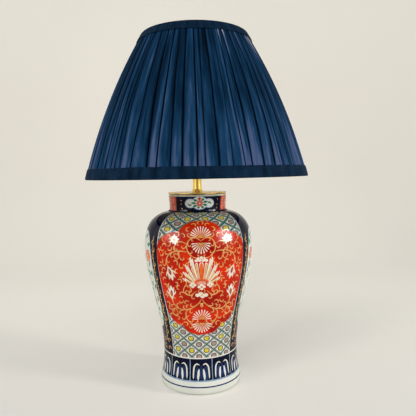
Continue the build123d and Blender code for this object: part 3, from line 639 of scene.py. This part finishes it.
def foot(art):
    """White foot with blue rings under a band of cobalt lappets."""
    art.girdle("glaze", -5, FOOT_BAND_LOW)
    art.girdle("blue", 15.4, 17.6)
    art.girdle("pale_blue", FOOT_BAND_LOW - 2.2, FOOT_BAND_LOW + 0.6)
    art.girdle("cobalt", FOOT_BAND_LOW, FOOT_BAND_HIGH)
    art.girdle("glaze", FOOT_BAND_HIGH, FOOT_BAND_HIGH + 2.2)
    lappets = 11
    for lappet in range(lappets):
        angle = 0.5 + lappet * 360 / lappets
        divider = angle + 180 / lappets
        art.block("pale_blue", divider - 0.6, divider + 0.6, FOOT_BAND_LOW, FOOT_BAND_HIGH, 2)
        for flip in (np.array, mirrored):
            hook = through(14.2 + 30j, 13.4 + 42j, 12 + 51j, 7.5 + 55.5j, 2.8 + 53j)
            art.at("glaze", flip(stroke(hook, 2.6, 0.3)), angle)
            art.at("glaze", flip(stroke(through(5.6 + 27.5j, 5.4 + 36j, 3.6 + 47j), 4.6, 0.8)), angle)
            art.at("blue", flip(stroke(through(9.8 + 28.5j, 9.2 + 40j, 6.4 + 51j), 5.0, 0.35)), angle)
        art.at("blue", leaf(28j, 52j, 6.0, 0.35, 13), angle)


def neck(art):
    """Cobalt neck: coral side fields, a cloud-shaped reserve with a flower on each panel, and a white lip."""
    flower_rise = 358.5
    art.girdle("cobalt", NECK_FOOT, LIP)
    art.girdle("glaze", LIP, SIDE_TOP + 5)
    for middle in FACES:
        art.block("coral", middle + 49, middle + 131, NECK_FOOT + 4, LIP)
        for side in range(6):
            for row in range(3):
                outline = stroke(spiral(3.4, 0.8, 1.5 * row + side, 0.3), 1.3, 0.5)
                art.at("pink", outline, middle + 56 + 13.5 * side, 350.5 + 7.5 * row)
        centre = middle + 1.5
        for grow, tone in ((1.2, "pale_blue"), (0.0, "glaze")):
            art.at(tone, ellipse(13.5 + grow, 11 + grow, 24), centre, flower_rise + 0.5)
            for side in (-1, 1):
                art.at(tone, ellipse(9.2 + grow, 7.4 + grow, 20) + side * 16.8, centre, flower_rise)
        for turn in turns(9, 0.3):
            base = 5.5 * np.exp(1j * turn)
            tip = complex(15.5 * math.cos(turn), 9.8 * math.sin(turn))
            art.at("green", leaf(base, tip, 4.2), centre, flower_rise)
        discs = (("red", 6.0, 0), ("pink", 4.6, 0), ("red", 3.7, 0), ("glaze", 1.6, 0), ("red", 2.7, 8.4))
        for tone, size, y in discs:
            art.at(tone, ellipse(size, size * 0.9, 14) + 1j * y, centre, flower_rise)
        for side in (-1, 1):
            frond = stroke(bezier(0, 3 + 4j, 6 + 3j, 8 - 2j, 9), 3.2, 1.0)
            art.at("green", frond * side + side * 13.5, centre, flower_rise - 1.0)
            for row in range(3):
                scroll = stroke(spiral(2.2, 0.6, 2.0 * row + side, 0.3), 0.7, 0.5)
                art.at("gilt", scroll, centre + 37 * side, 348.5 + 8 * row)


def paint_vase():
    art = Painting()
    lattice(art)
    side_fields(art)
    for middle in FACES:
        art.on_plan("red", ROUND * np.radians(middle + MEDALLION.real), MEDALLION.imag)
    heart = through(0 + 274.5j, 6 + 279.5j, 14 + 281j, 23.5 + 271j, 22.5 + 257.5j, 14 + 249j, 0 + 247j)
    art.face("deep_red", np.concatenate([heart, mirrored(heart[1:-1])[::-1]]))
    curls(art, vines(art))
    fan(art, 279.5j, 21, 1j, 2.45)
    fan(art, 272j, 18.5, -1j, 2.9)
    fan(art, 136j, 18.5, 1j, 3.0)
    fan(art, 130j, 19, -1j, 2.6)
    lotus(art)
    for middle in (-7 + 181.5j, 181.5j, 7 + 181.5j, -1.5 + 184j, 1.5 + 179j):
        art.face("white", ellipse(4.0, 3.3, 12) + middle)
    art.face("tan", ellipse(1.8, 1.5, 8) + 181.5j)
    bud(art, 57 + 225j, 50 + 207j)
    bud(art, 53.5 + 179j, 55 + 197j)
    blossom(art, 46 + 277j, 9.5)
    foot(art)
    neck(art)
    return art.shapes


# Meshes


def placed(name, data):
    """A new object in the scene."""
    made = bpy.data.objects.new(name, data)
    bpy.context.scene.collection.objects.link(made)
    return made


def smooth_mesh(name, places, faces, *materials):
    mesh = bpy.data.meshes.new(name)
    mesh.from_pydata(places, [], faces)
    mesh.polygons.foreach_set("use_smooth", [True] * len(faces))
    for material in materials:
        mesh.materials.append(material)
    return mesh


def grid_faces(rows, columns):
    """Quads between the rows of a grid of points whose columns close round the axis."""
    index = np.arange(rows * columns).reshape(rows, columns)
    after = np.roll(index, -1, 1)
    return np.stack([index[:-1], after[:-1], after[1:], index[1:]], -1).reshape(-1, 4)


def subdivided(outline):
    """A closed outline with points no further apart than the mesh step."""
    points = []
    for start, end in zip(outline, np.roll(outline, -1, 0)):
        count = max(1, int(np.ceil(np.hypot(*(end - start)) / MESH_STEP)))
        points.extend(start + (end - start) * share for share in np.arange(count) / count)
    return points


def triangulate(outlines, low, high, rows):
    """Points and triangles of the plan between two heights, with outlines as edges and both ends alike."""
    left = math.radians(SEAM) * ROUND
    right = left + 2 * math.pi * ROUND
    columns = round((right - left) / MESH_STEP)
    across = np.linspace(left, right, columns + 1)
    up = np.linspace(low, high, rows + 1)
    border = [(x, low) for x in across[:-1]] + [(right, y) for y in up[:-1]]
    border += [(x, high) for x in across[:0:-1]] + [(left, y) for y in up[:0:-1]]
    points = []
    edges = []
    for outline in [np.array(border), *outlines]:
        loop = subdivided(outline)
        first = len(points)
        edges += [(first + i, first + (i + 1) % len(loop)) for i in range(len(loop))]
        points += [Vector(point) for point in loop]
    for index, y in enumerate(up[1:-1]):
        points += [Vector((x, y)) for x in across[1:-1] + (index % 2 - 0.5) * MESH_STEP / 2]
    points, _, triangles, _, _, _ = geometry.delaunay_2d_cdt(points, edges, [], 0, SAME_POINT)
    points = np.array([tuple(point) for point in points])
    triangles = np.array(triangles)
    middle = points[triangles].mean(1)
    kept = (middle[:, 0] > left) & (middle[:, 0] < right) & (middle[:, 1] > low) & (middle[:, 1] < high)
    return points, triangles[kept], middle[kept]


def coloured(middle, shapes, names):
    """Index of the topmost enamel at each triangle's middle."""
    index = np.zeros(len(middle), int)
    for colour, outline in shapes:
        low, high = outline.min(0), outline.max(0)
        near = np.flatnonzero(((middle > low) & (middle < high)).all(1))
        if len(near):
            hit = inside(middle[near, 0], middle[near, 1], outline)
            index[near[hit]] = names.index(colour)
    return index


def round_axis(angle, radius, height):
    """Points about the upright axis, in metres; angle 0 is the front and grows to the right."""
    return np.stack([radius * np.sin(angle), -radius * np.cos(angle), height + 0 * angle], -1) * MM


class Skin:
    """Faces gathered from several surfaces, with their enamels, normals and bake coordinates."""

    def __init__(self):
        self.places, self.normals, self.faces, self.colours, self.uvs = [], [], [], [], []
        self.count = 0

    def add(self, places, normals, faces, colours, uvs):
        self.places.append(places)
        self.normals.append(normals)
        self.faces += [[int(i) + self.count for i in face] for face in faces]
        self.colours += [int(c) for c in colours]
        self.uvs += list(uvs)
        self.count += len(places)

    def build(self, name, materials):
        """One closed mesh object; zero normals are left to Blender."""
        mesh = smooth_mesh(name, np.concatenate(self.places).tolist(), self.faces, *materials)
        mesh.polygons.foreach_set("material_index", self.colours)
        layer = mesh.uv_layers.new(name="OFBake")
        layer.data.foreach_set("uv", np.concatenate(self.uvs).ravel())
        kept = mesh.attributes.new("side_normal", "FLOAT_VECTOR", "POINT")
        kept.data.foreach_set("vector", np.concatenate(self.normals).ravel())
        welded = bmesh.new()
        welded.from_mesh(mesh)
        bmesh.ops.remove_doubles(welded, verts=welded.verts, dist=WELD)
        welded.to_mesh(mesh)
        welded.free()
        mesh.set_sharp_from_angle(angle=math.radians(SHARP_EDGE))
        normals = np.zeros(3 * len(mesh.vertices))
        mesh.attributes["side_normal"].data.foreach_get("vector", normals)
        corners = np.zeros(len(mesh.loops), int)
        mesh.loops.foreach_get("vertex_index", corners)
        mesh.normals_split_custom_set(normals.reshape(-1, 3)[corners].tolist())
        mesh.attributes.remove(mesh.attributes["side_normal"])
        return placed(name, mesh)


# Corners of one face on the bake map and the weave
CORNERS = np.array([(0, 0), (1, 0), (1, 1), (0, 1)])


def vase_skin():
    """The vase: painted outside, plain glazed inside and underneath, with the flex inlet through its foot."""
    shapes = paint_vase()
    inlet = ellipse(1, 1, 24)
    inlet_rise = float(np.interp(INLET_HEIGHT, SIDE_HEIGHT, SIDE_RISE))
    hole_x = ROUND * (np.pi + np.arcsin(INLET_RADIUS * inlet.real / INLET_WALL))
    hole = np.stack([hole_x, inlet_rise + INLET_RADIUS * inlet.imag], 1)
    skin = Skin()

    outlines = [outline for _, outline in shapes] + [hole]
    points, triangles, middle = triangulate(outlines, 0.0, SIDE_TOP, round(SIDE_TOP / MESH_STEP))
    kept = ~inside(middle[:, 0], middle[:, 1], hole)
    triangles = triangles[kept]
    colours = coloured(middle[kept], shapes, list(ENAMELS))
    angle, rise = points[:, 0] / ROUND, np.clip(points[:, 1], 0, SIDE_TOP)
    slope_out = np.interp(rise, SIDE_RISE, np.gradient(SIDE_RADIUS, SIDE_RISE))
    slope_up = np.interp(rise, SIDE_RISE, np.gradient(SIDE_HEIGHT, SIDE_RISE))
    normals = np.stack([slope_up * np.sin(angle), -slope_up * np.cos(angle), -slope_out], 1)
    flat_rise = BAKE_FLOOR + (1 - BAKE_FLOOR) * rise / SIDE_TOP
    flat = np.stack([(angle - math.radians(SEAM)) / (2 * np.pi), flat_rise], 1)
    skin.add(on_side(points[:, 0], rise), normals, triangles, colours, flat[triangles])

    columns = round(2 * math.pi * ROUND / MESH_STEP)
    angles = math.radians(SEAM) + np.linspace(0, 2 * np.pi, columns + 1)
    first = np.arange(columns)
    for index, (upper, lower) in enumerate(zip(VASE_INSIDE, VASE_INSIDE[1:])):
        if (upper, lower) == (RECESS_TOP, RECESS_FOOT):
            continue
        places = np.concatenate([round_axis(angles, radius, height) for radius, height in (upper, lower)])
        faces = grid_faces(2, columns + 1)[:-1]
        strip = np.stack([first / columns, np.full(columns, index * BAKE_STRIP)], 1)
        uvs = CORNERS * (1 / columns, BAKE_STRIP_HEIGHT) + strip[:, None]
        skin.add(places, 0 * places, faces, 0 * first, uvs)

    recess_radius, recess_top = RECESS_TOP
    inner_x = ROUND * (np.pi + np.arcsin(INLET_RADIUS * inlet.real / recess_radius))
    inner_hole = np.stack([inner_x, recess_top - INLET_HEIGHT - INLET_RADIUS * inlet.imag], 1)
    points, triangles, middle = triangulate([inner_hole], 0.0, recess_top - RECESS_FOOT[1], 4)
    triangles = triangles[~inside(middle[:, 0], middle[:, 1], inner_hole)]
    places = round_axis(points[:, 0] / ROUND, recess_radius, recess_top - points[:, 1])
    uvs = (points[triangles] - (math.radians(SEAM) * ROUND, 0)) * (0.5 / np.pi / ROUND, BAKE_SMALL)
    uvs = uvs + (0, BAKE_RECESS)
    skin.add(places, 0 * places, triangles, 0 * triangles[:, 0], uvs)

    outer = on_side(hole[:, 0], hole[:, 1])
    inner = round_axis(inner_x / ROUND, recess_radius, recess_top - inner_hole[:, 1])
    faces = grid_faces(2, len(inlet))
    uvs = np.array([CORNERS * BAKE_SMALL + BAKE_INLET] * len(inlet))
    places = np.concatenate([outer, inner])
    skin.add(places, 0 * places, faces, 0 * faces[:, 0], uvs)
    return skin.build("vase_painted", list(ENAMELS.values()))


# Cloth


def shade_radius(depth, height):
    """Radius of the shade's bowed side at a depth under the outermost folds."""
    spread = SHADE_LOW_RADIUS - SHADE_HIGH_RADIUS
    tall = SHADE_HIGH - SHADE_LOW
    chord = math.hypot(spread, tall)
    bow_radius = chord**2 / (8 * SHADE_BOW) + SHADE_BOW / 2
    lean = math.atan2(spread, tall)
    centre_radius = (SHADE_LOW_RADIUS + SHADE_HIGH_RADIUS) / 2 - (bow_radius - SHADE_BOW) * math.cos(lean)
    centre_height = (SHADE_LOW + SHADE_HIGH) / 2 - (bow_radius - SHADE_BOW) * math.sin(lean)
    return centre_radius + np.sqrt((bow_radius - depth) ** 2 - (height - centre_height) ** 2)


def shell(name, outside, within, material, hole=None):
    """Closed cloth from two grids of points, rows up and columns round the axis, less the faces in a hole."""
    rows, columns = outside.shape[:2]
    quads = grid_faces(rows, columns)
    across, up = np.meshgrid(np.arange(columns), np.arange(rows - 1))
    flat = np.stack([across.ravel(), up.ravel()], 1)
    if hole is not None:
        kept = ~hole(outside.reshape(-1, 3)[quads].mean(1))
        quads = quads[kept]
        flat = flat[kept]
    total = rows * columns
    starts = quads.ravel()
    ends = np.roll(quads, -1, 1).ravel()
    edge = ~np.isin(starts * total + ends, ends * total + starts)
    starts, ends = starts[edge], ends[edge]
    rim = np.stack([ends, starts, starts + total, ends + total], 1)
    places = np.concatenate([outside.reshape(-1, 3), within.reshape(-1, 3)])
    faces = np.concatenate([quads, quads[:, ::-1] + total, rim])
    mesh = smooth_mesh(name, places.tolist(), faces.tolist(), material)
    uv = (flat[:, None, :] + CORNERS) / (columns, rows - 1)
    rim_uv = np.zeros((len(rim), 4, 2))
    weave = mesh.uv_layers.new(name="weave")
    weave.data.foreach_set("uv", np.concatenate([uv, uv[:, ::-1], rim_uv]).ravel())
    return placed(name, mesh)


def pleated_cover(material):
    """Gathered cover: flat folds of uneven width and tilt, tucked under at both edges into narrow creases.

    Each fold keeps the same length of cloth from the lower edge to the upper, so the tucks deepen upwards.
    """
    pick = random.Random(21)
    heights = np.linspace(CLOTH_LOW, CLOTH_HIGH, 40)
    share = (heights - CLOTH_LOW) / (CLOTH_HIGH - CLOTH_LOW)
    widths = np.array([pick.uniform(*FOLD_WIDTHS) for _ in range(PLEATS)])
    starts = np.concatenate([[0], np.cumsum(widths)]) * 2 * np.pi / widths.sum()
    sways = []
    for _ in range(PLEATS):
        size = pick.uniform(-FOLD_SWAY, FOLD_SWAY)
        phase = pick.uniform(0, 6.3)
        pace = pick.uniform(2.0, 5.0)
        sways.append(size * np.sin(pace * share + phase) * 2 * np.pi / PLEATS)
    sways.append(sways[0])
    outside, within = [], []
    for pleat in range(PLEATS):
        start = starts[pleat] + sways[pleat]
        width = starts[pleat + 1] + sways[pleat + 1] - start
        cloth = FOLD_CLOTH * widths[pleat] / widths.mean()
        tuck = np.clip((cloth / (width * shade_radius(0, heights)) - 1) / 4, *FOLD_TUCK)
        left = pick.uniform(*FOLD_EDGE)
        right = 1 - pick.uniform(*FOLD_EDGE)
        low_left = 0.2 + pick.choice((0, 0, 1)) * pick.random()
        low_right = 0.2 + pick.choice((0, 0, 1)) * pick.random()
        bulge = pick.uniform(*FOLD_BULGE)
        phase = pick.uniform(0, 6.3)
        line = [(0, 0, FOLD_FLOOR), (left, 0.6, FOLD_FLOOR - 0.15),
                (left, 1, (low_left + 0.8 + FOLD_FLOOR) / 2),
                (left + 0.01, 0, low_left + 0.8 + bulge), (left - 0.01, 0, low_left + 0.4 + bulge)]
        for step in np.linspace(0.01, 0.99, 7):
            drop = low_left + (low_right - low_left) * step + bulge * (2 * step - 1) ** 4
            line.append((left + (right - left) * step, 0, drop))
        line += [(right + 0.01, 0, low_right + 0.4 + bulge), (right - 0.01, 0, low_right + 0.8 + bulge),
                 (right, -1, (low_right + 0.8 + FOLD_FLOOR) / 2), (right, -0.6, FOLD_FLOOR - 0.15)]
        for plain, tucked, depth in line:
            angle = start + width * (plain + tuck * tucked)
            deep = depth + 0.15 * np.sin(7 * share + phase + 4 * plain) * (depth < 1.2)
            outside.append(round_axis(angle, shade_radius(deep, heights), heights))
            within.append(round_axis(angle, shade_radius(deep + CLOTH_THICKNESS, heights), heights))
    return shell("cover_gathered", np.stack(outside, 1), np.stack(within, 1), material)


def edge_band(name, material, edge, leg, up):
    """Bias band folded over an edge of the shade: outer leg, edge and inner leg, a little uneven."""
    way = 1 if up else -1
    angles = turns(288)
    pick = random.Random(leg)
    pucker = sum(0.12 * np.sin(n * angles + pick.uniform(0, 6.3)) for n in (23, 41, 67))
    wander = sum(0.16 * np.sin(n * angles + pick.uniform(0, 6.3)) for n in (5, 13, 64))

    def line(out, back, rim):
        """Points (depth, height, share of pucker) from the outer leg's free edge round to the inner leg's."""
        free = edge - way * leg
        outer = [(out + 0.35, free, 0.0), (out, free + way * 1.0, 0.4)]
        outer += [(out, free + way * (leg - BAND_BEND) * share, 1.0) for share in (0.25, 0.5, 0.75)]
        outer += [(out, rim - way * BAND_BEND, 0.5), (out + BAND_BEND_CUT, rim - way * BAND_BEND_CUT, 0.0)]
        fold = [(out + BAND_BEND, rim, 0.0), (back - BAND_BEND, rim, 0.0)]
        inner = [(back - BAND_BEND_CUT, rim - way * BAND_BEND_CUT, 0.0), (back, rim - way * BAND_BEND, 0.0),
                 (back, rim - way * 6, 0.0), (back, edge - way * BAND_INNER_LEG, 0.0)]
        return outer + fold + inner

    grids = []
    for inset in (0.0, BAND_THICKNESS):
        rows = []
        rim = edge - way * (BAND_RIM + inset)
        for depth, height, share in line(BAND_OUT + inset, BAND_BACK - inset, rim):
            at = height - way * wander * (abs(height - edge) > leg - 1.5)
            rows.append(round_axis(angles, shade_radius(depth + pucker * share, at), at))
        grids.append(np.stack(rows if up else rows[::-1], 0))
    return shell(name, *grids, material)


def smooth_lining(material):
    """Thin lining inside the wires, slit where the gimbal's arms pass."""
    heights = np.linspace(CLOTH_LOW + 0.3, CLOTH_HIGH - 0.3, 60)
    angles = turns(320)
    grids = []
    for depth in LINING_DEPTHS:
        rows = []
        for height in heights:
            rows.append(round_axis(angles, shade_radius(depth + 0.06 * np.sin(48 * angles), height), height))
        grids.append(np.stack(rows, 0))

    def slit(places):
        return np.hypot(places[:, 1], places[:, 2] - ARM_HEIGHT * MM) < ARM_SLIT * MM

    return shell("lining_sewn", *grids, material, slit)


def felt_pad(material):
    """Felt ring under the foot, with soft edges."""
    section = ((61.3, 0), (65.7, 0), (66.4, 0.3), (66.45, 0.7), (66, 0.98), (61, 0.98), (60.55, 0.7),
               (60.6, 0.3))
    places = np.stack([round_axis(turns(160), radius, height) for radius, height in section], 0)
    rows, columns = places.shape[:2]
    faces = grid_faces(rows + 1, columns) % (rows * columns)
    mesh = smooth_mesh("felt_ring", places.reshape(-1, 3).tolist(), faces[:, ::-1].tolist(), material)
    return placed("felt_ring", mesh)


# Finishes of cloth and fittings


def cloth_material(name, colour, dark, pale, sheen):
    """Woven cloth of the bands and the lining: lighter and darker streaks and a fine weave."""
    made = surface(name, Roughness=0.75, Specular_IOR_Level=0.04, Sheen_Weight=sheen, Sheen_Roughness=0.4,
                   Sheen_Tint=srgb(*pale))
    streaks = made.calc("MULTIPLY_ADD", made.streaks((700, 5, 1)), 0.35, made.streaks((90, 1.2, 1)))
    made.bump(made.noise(made.place(), 1500.0, 2.0), 0.25, 0.0003)
    return made.finish(Base_Color=made.tones(streaks, (0.5, dark), (0.66, colour), (0.9, pale)))


def fold_material():
    """Navy cloth of the cover: each fold in its own tone, with painted shade across each fold and in the
    creases, painted light towards the lower edge and painted glints near the top.
    """
    made = surface("navy_cloth", Roughness=0.8, Specular_IOR_Level=0.04)
    calc = made.calc
    axes = made.node("SeparateXYZ", Vector=made.weave()).outputs
    folds = calc("MULTIPLY", axes["X"], PLEATS)
    chance = []
    for shift in (3.0, 5.37, 9.71):
        pick = made.node("TexWhiteNoise")
        pick.noise_dimensions = "1D"
        made.feed(pick, W=calc("ADD", calc("FLOOR", folds), shift))
        chance.append(calc("SUBTRACT", pick.outputs["Value"], 0.5))
    within = calc("SUBTRACT", calc("FRACT", folds), 0.5)
    # Painted shade: the tone falls towards each fold's edges, darkening the creases between folds.
    painted_crease_shade = calc("MAXIMUM", calc("SUBTRACT", calc("ABSOLUTE", within), 0.14), 0.0)
    streaks = calc("MULTIPLY_ADD", made.streaks((420, 3, 1)), 0.9, -0.08)
    tone = calc("MULTIPLY_ADD", chance[0], 0.16, streaks)
    # Painted shading across each fold: lighter towards one edge and darker towards the other, by a random
    # amount.
    tone = calc("MULTIPLY_ADD", calc("MULTIPLY", within, chance[1]), 1.7, tone)
    tone = calc("MULTIPLY_ADD", painted_crease_shade, -1.6, tone)
    # Painted light: the folds grow lighter towards the lower edge, some more than others, up to a cap.
    painted_low_light = calc("MAXIMUM", calc("SUBTRACT", 0.42, axes["Y"]), -0.1)
    reach = calc("MULTIPLY_ADD", chance[2], 0.5, 0.56)
    tone = calc("MINIMUM", calc("MULTIPLY_ADD", painted_low_light, reach, tone), 0.66)
    # Painted glints: thin light streaks along one edge of most folds, brightest at the top.
    painted_glint = calc("LESS_THAN", calc("ABSOLUTE", calc("ADD", within, 0.15)), 0.04)
    painted_glint = calc("MULTIPLY", painted_glint, calc("GREATER_THAN", chance[2], 0.15))
    glint_fade = calc("MAXIMUM", calc("SUBTRACT", axes["Y"], 0.72), 0.0)
    tone = calc("MULTIPLY_ADD", calc("MULTIPLY", painted_glint, glint_fade), 2.4, tone)
    made.bump(made.noise(made.place(), 1500.0, 2.0), 0.25, 0.0003)
    # Tones from the darkest painted crease shade up to the lavender of the painted light and the pale of the
    # painted glints.
    colour = made.tones(tone, (0.05, (0, 8, 22)), (0.28, (3, 36, 62)), (0.48, (24, 62, 98)),
                        (0.72, (84, 98, 138)), (1.0, (190, 194, 202)))
    return made.finish(Base_Color=colour)


def metal_material(name, colour, dark, roughness):
    """Lacquered metal, slightly clouded."""
    made = surface(name, Metallic=1.0)
    where = made.place()
    clouds = made.noise(where, 240.0)
    made.bump(made.noise(where, 300.0, 2.0), 0.02, 0.0002)
    return made.finish(Base_Color=made.tones(clouds, (0.3, dark), (0.7, colour)),
                       Roughness=made.levels(clouds, (0.3, roughness * 1.5), (0.7, roughness)))


def plain_material(name, colour, dark, roughness, scale=160.0, **sockets):
    """Rubber, ceramic, felt or plastic: two tones and a fine grain."""
    made = surface(name, Roughness=roughness, **sockets)
    where = made.place()
    made.bump(made.noise(where, 1200.0, 2.0), 0.15, 0.0003)
    return made.finish(Base_Color=made.tones(made.noise(where, scale), (0.35, dark), (0.65, colour)))


def glass_material():
    """Lightly frosted bulb glass."""
    made = surface("bulb_glass", Roughness=0.2, Transmission_Weight=0.85, IOR=1.45)
    clouds = made.noise(made.place(), 40.0)
    return made.finish(Base_Color=made.tones(clouds, (0.3, (240, 238, 230)), (0.7, (248, 247, 242))))


def dress_fittings():
    """Finishes of the CAD pieces that keep their own shape."""
    brass = metal_material("brass_polished", (255, 220, 124), (255, 206, 100), 0.15)
    steel = metal_material("steel_plated", (190, 192, 194), (160, 162, 166), 0.3)
    old_brass = metal_material("carrier_brass", (206, 164, 92), (170, 128, 66), 0.3)
    wire = plain_material("frame_wire", (226, 222, 212), (206, 202, 192), 0.5)
    rubber = plain_material("rubber_black", (34, 34, 36), (22, 22, 24), 0.7)
    ceramic = plain_material("holder_ceramic", (232, 228, 216), (222, 216, 202), 0.35)
    black = plain_material("bulb_black", (26, 26, 28), (16, 16, 18), 0.3)
    filament = metal_material("filament", (150, 140, 130), (110, 104, 98), 0.4)
    finishes = {
        brass: ("vase_cap", "stem_nut", "stem_tube", "holder_cup", "holder_shell", "screw_shell",
                "centre_contact"),
        old_brass: ("shade_ring_lower", "shade_ring_upper", "carrier_ring", "carrier_wires", "carrier_seat",
                    "gimbal_ring", "gimbal_pivots", "gimbal_arms"),
        steel: ("base_washer", "base_nut", "threaded_rod", "holder_lock_screw", "terminal_screws", "bulb_cap",
                "bulb_contact", "switch_bar"),
        rubber: ("cord_grommet", "base_gasket", "cap_gasket"),
        ceramic: ("holder_insulator",),
        black: ("bulb_insulator",),
        filament: ("bulb_filament",),
        glass_material(): ("bulb_glass",),
        wire: ("frame_top_hoop", "frame_bottom_hoop", "frame_struts"),
    }
    for material, nodes in finishes.items():
        for node in nodes:
            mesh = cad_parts[node].data
            mesh.materials.clear()
            mesh.materials.append(material)


def dress_soft_pieces():
    """The painted vase, the cloth of the shade and the felt, in place of their plain solids."""
    vase = vase_skin()
    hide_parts("vase")
    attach(vase, "base")

    felt = felt_pad(plain_material("felt", (96, 92, 84), (70, 66, 60), 0.95, 700.0, Sheen_Weight=0.3))
    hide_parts("foot_felt")
    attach(felt, "base")

    band = cloth_material("navy_band", (9, 33, 55), (2, 22, 40), (20, 46, 72), 0.01)
    pale = cloth_material("lining_cloth", (226, 222, 212), (214, 208, 196), (240, 238, 230), 0.1)
    cover = pleated_cover(fold_material())
    top = edge_band("band_top", band, SHADE_HIGH, TOP_BAND, True)
    bottom = edge_band("band_bottom", band, SHADE_LOW, BOTTOM_BAND, False)
    lining = smooth_lining(pale)
    soft = ((cover, "shade_cover", "shade_cloth"), (top, "top_trim", "shade_trim"),
            (bottom, "bottom_trim", "shade_trim"), (lining, "shade_lining", "shade_lining"))
    for piece, node, slot in soft:
        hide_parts(node)
        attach(piece, "shade")


# Studio


def studio_surface():
    """Pale floor that sweeps up into the wall, a little brighter as the camera, metal and glass see it."""
    made = surface("studio_paper", Roughness=0.9, Specular_IOR_Level=0.1)
    where = made.place()
    axes = made.node("SeparateXYZ", Vector=where).outputs
    depth = made.calc("ABSOLUTE", made.calc("ADD", axes["Y"], PAPER_LIFT_START))
    along = made.calc("MULTIPLY", made.calc("ADD", depth, axes["Z"]), PAPER_LIFT_RATE)
    lift = made.ramp(along, *((at, (*level, 1)) for at, level in PAPER_LIFT))
    ray = made.node("LightPath").outputs
    mirrored_ray = made.calc("MAXIMUM", ray["Is Glossy Ray"], ray["Is Transmission Ray"])
    seen = made.calc("MAXIMUM", ray["Is Camera Ray"], mirrored_ray)
    tone = made.tones(made.noise(where, 2.0), (0.3, (222, 217, 206)), (0.7, (226, 221, 210)))
    paper = made.finish(Base_Color=tone, Emission_Color=lift, Emission_Strength=seen)
    front, back, bend, top, side = -3.0, 1.0, 0.8, 3.5, 4.0
    line = [(front, 0.0), (back, 0.0)]
    line += [(back + bend * math.sin(a), bend - bend * math.cos(a)) for a in np.linspace(0.1, 1.5, 12)]
    line += [(back + bend, bend), (back + bend, top)]
    vertices = [(x, y, z) for y, z in line for x in (-side, side)]
    faces = [(2 * i, 2 * i + 1, 2 * i + 3, 2 * i + 2) for i in range(len(line) - 1)]
    floor = placed("studio_sweep", smooth_mesh("studio_sweep", vertices, faces, paper))


def window_light(name, place, target, width, height, power, colour, spread=180.0):
    """Area light that faces its target; spread is the angle, in degrees, that its beam opens to."""
    data = bpy.data.lights.new(name, "AREA")
    data.shape = "RECTANGLE"
    data.size = width
    data.size_y = height
    data.energy = power
    data.color = colour
    data.spread = math.radians(spread)
    made = placed(name, data)
    made.location = place
    made.rotation_euler = (Vector(target) - Vector(place)).to_track_quat("-Z", "Y").to_euler()
    return made


def light_studio():
    """Daylight from above the camera, a window at each side, and two panes that only the vase mirrors."""
    world = bpy.data.worlds.new("daylight")
    sky = Shading(world, "Background")
    ray = sky.node("LightPath").outputs
    heading = sky.node("SeparateXYZ", Vector=sky.node("TexCoord").outputs["Generated"]).outputs
    room = sky.levels(sky.calc("ABSOLUTE", heading["X"]), *MIRRORED_ROOM)
    level = sky.calc("MULTIPLY_ADD", ray["Is Glossy Ray"], sky.calc("SUBTRACT", room, SKY), SKY)
    seen = sky.calc("MAXIMUM", ray["Is Camera Ray"], ray["Is Transmission Ray"])
    level = sky.calc("MULTIPLY_ADD", seen, SKY_SEEN - SKY, level)
    sky.finish(Color=(1.0, 0.985, 0.96, 1.0), Strength=level)
    bpy.context.scene.world = world
    middle = (0.0, 0.0, 0.27)
    lower = (0.0, 0.0, 0.18)
    day = (1.0, 0.98, 0.96)
    glazed = bpy.data.collections.new("glazed")
    glazed.objects.link(bpy.data.objects["vase_painted"])
    panes = (("pane_right", (1.7, -1.0, 1.06), 96.0), ("pane_left", (-1.7, -1.0, 1.06), 34.0))
    for name, place, power in panes:
        pane = window_light(name, place, middle, 1.1, 1.1, power, day)
        pane.visible_diffuse = False
        pane.light_linking.receiver_collection = glazed
    window_light("window_right", (2.08, -0.82, 0.72), lower, 0.36, 0.54, 4.7, day, 80.0)
    window_light("window_left", (-1.66, -1.42, 0.93), middle, 0.52, 0.86, 3.0, (1.0, 0.98, 0.95), 80.0)
    window_light("window_high", (-0.5, -1.9, 2.2), middle, 1.4, 1.0, 19.5, (1.0, 0.985, 0.96))


def aim_camera():
    data = bpy.data.cameras.new("camera")
    data.sensor_width = SENSOR
    data.lens = FOCAL_PIXELS / IMAGE_PIXELS * SENSOR
    data.shift_y = -HORIZON_RISE_PIXELS / IMAGE_PIXELS
    made = placed("camera", data)
    turn = Matrix.Rotation(math.radians(-CAMERA_YAW), 4, "Z") @ Matrix.Rotation(math.pi / 2, 4, "X")
    turn = turn @ Matrix.Rotation(math.radians(-CAMERA_ROLL), 4, "Z")
    made.matrix_world = Matrix.Translation((0, -CAMERA_DISTANCE, CAMERA_HEIGHT)) @ turn
    bpy.context.scene.camera = made


dress_fittings()
dress_soft_pieces()
studio_surface()
light_studio()
aim_camera()
bpy.context.scene.view_settings.view_transform = "Standard"
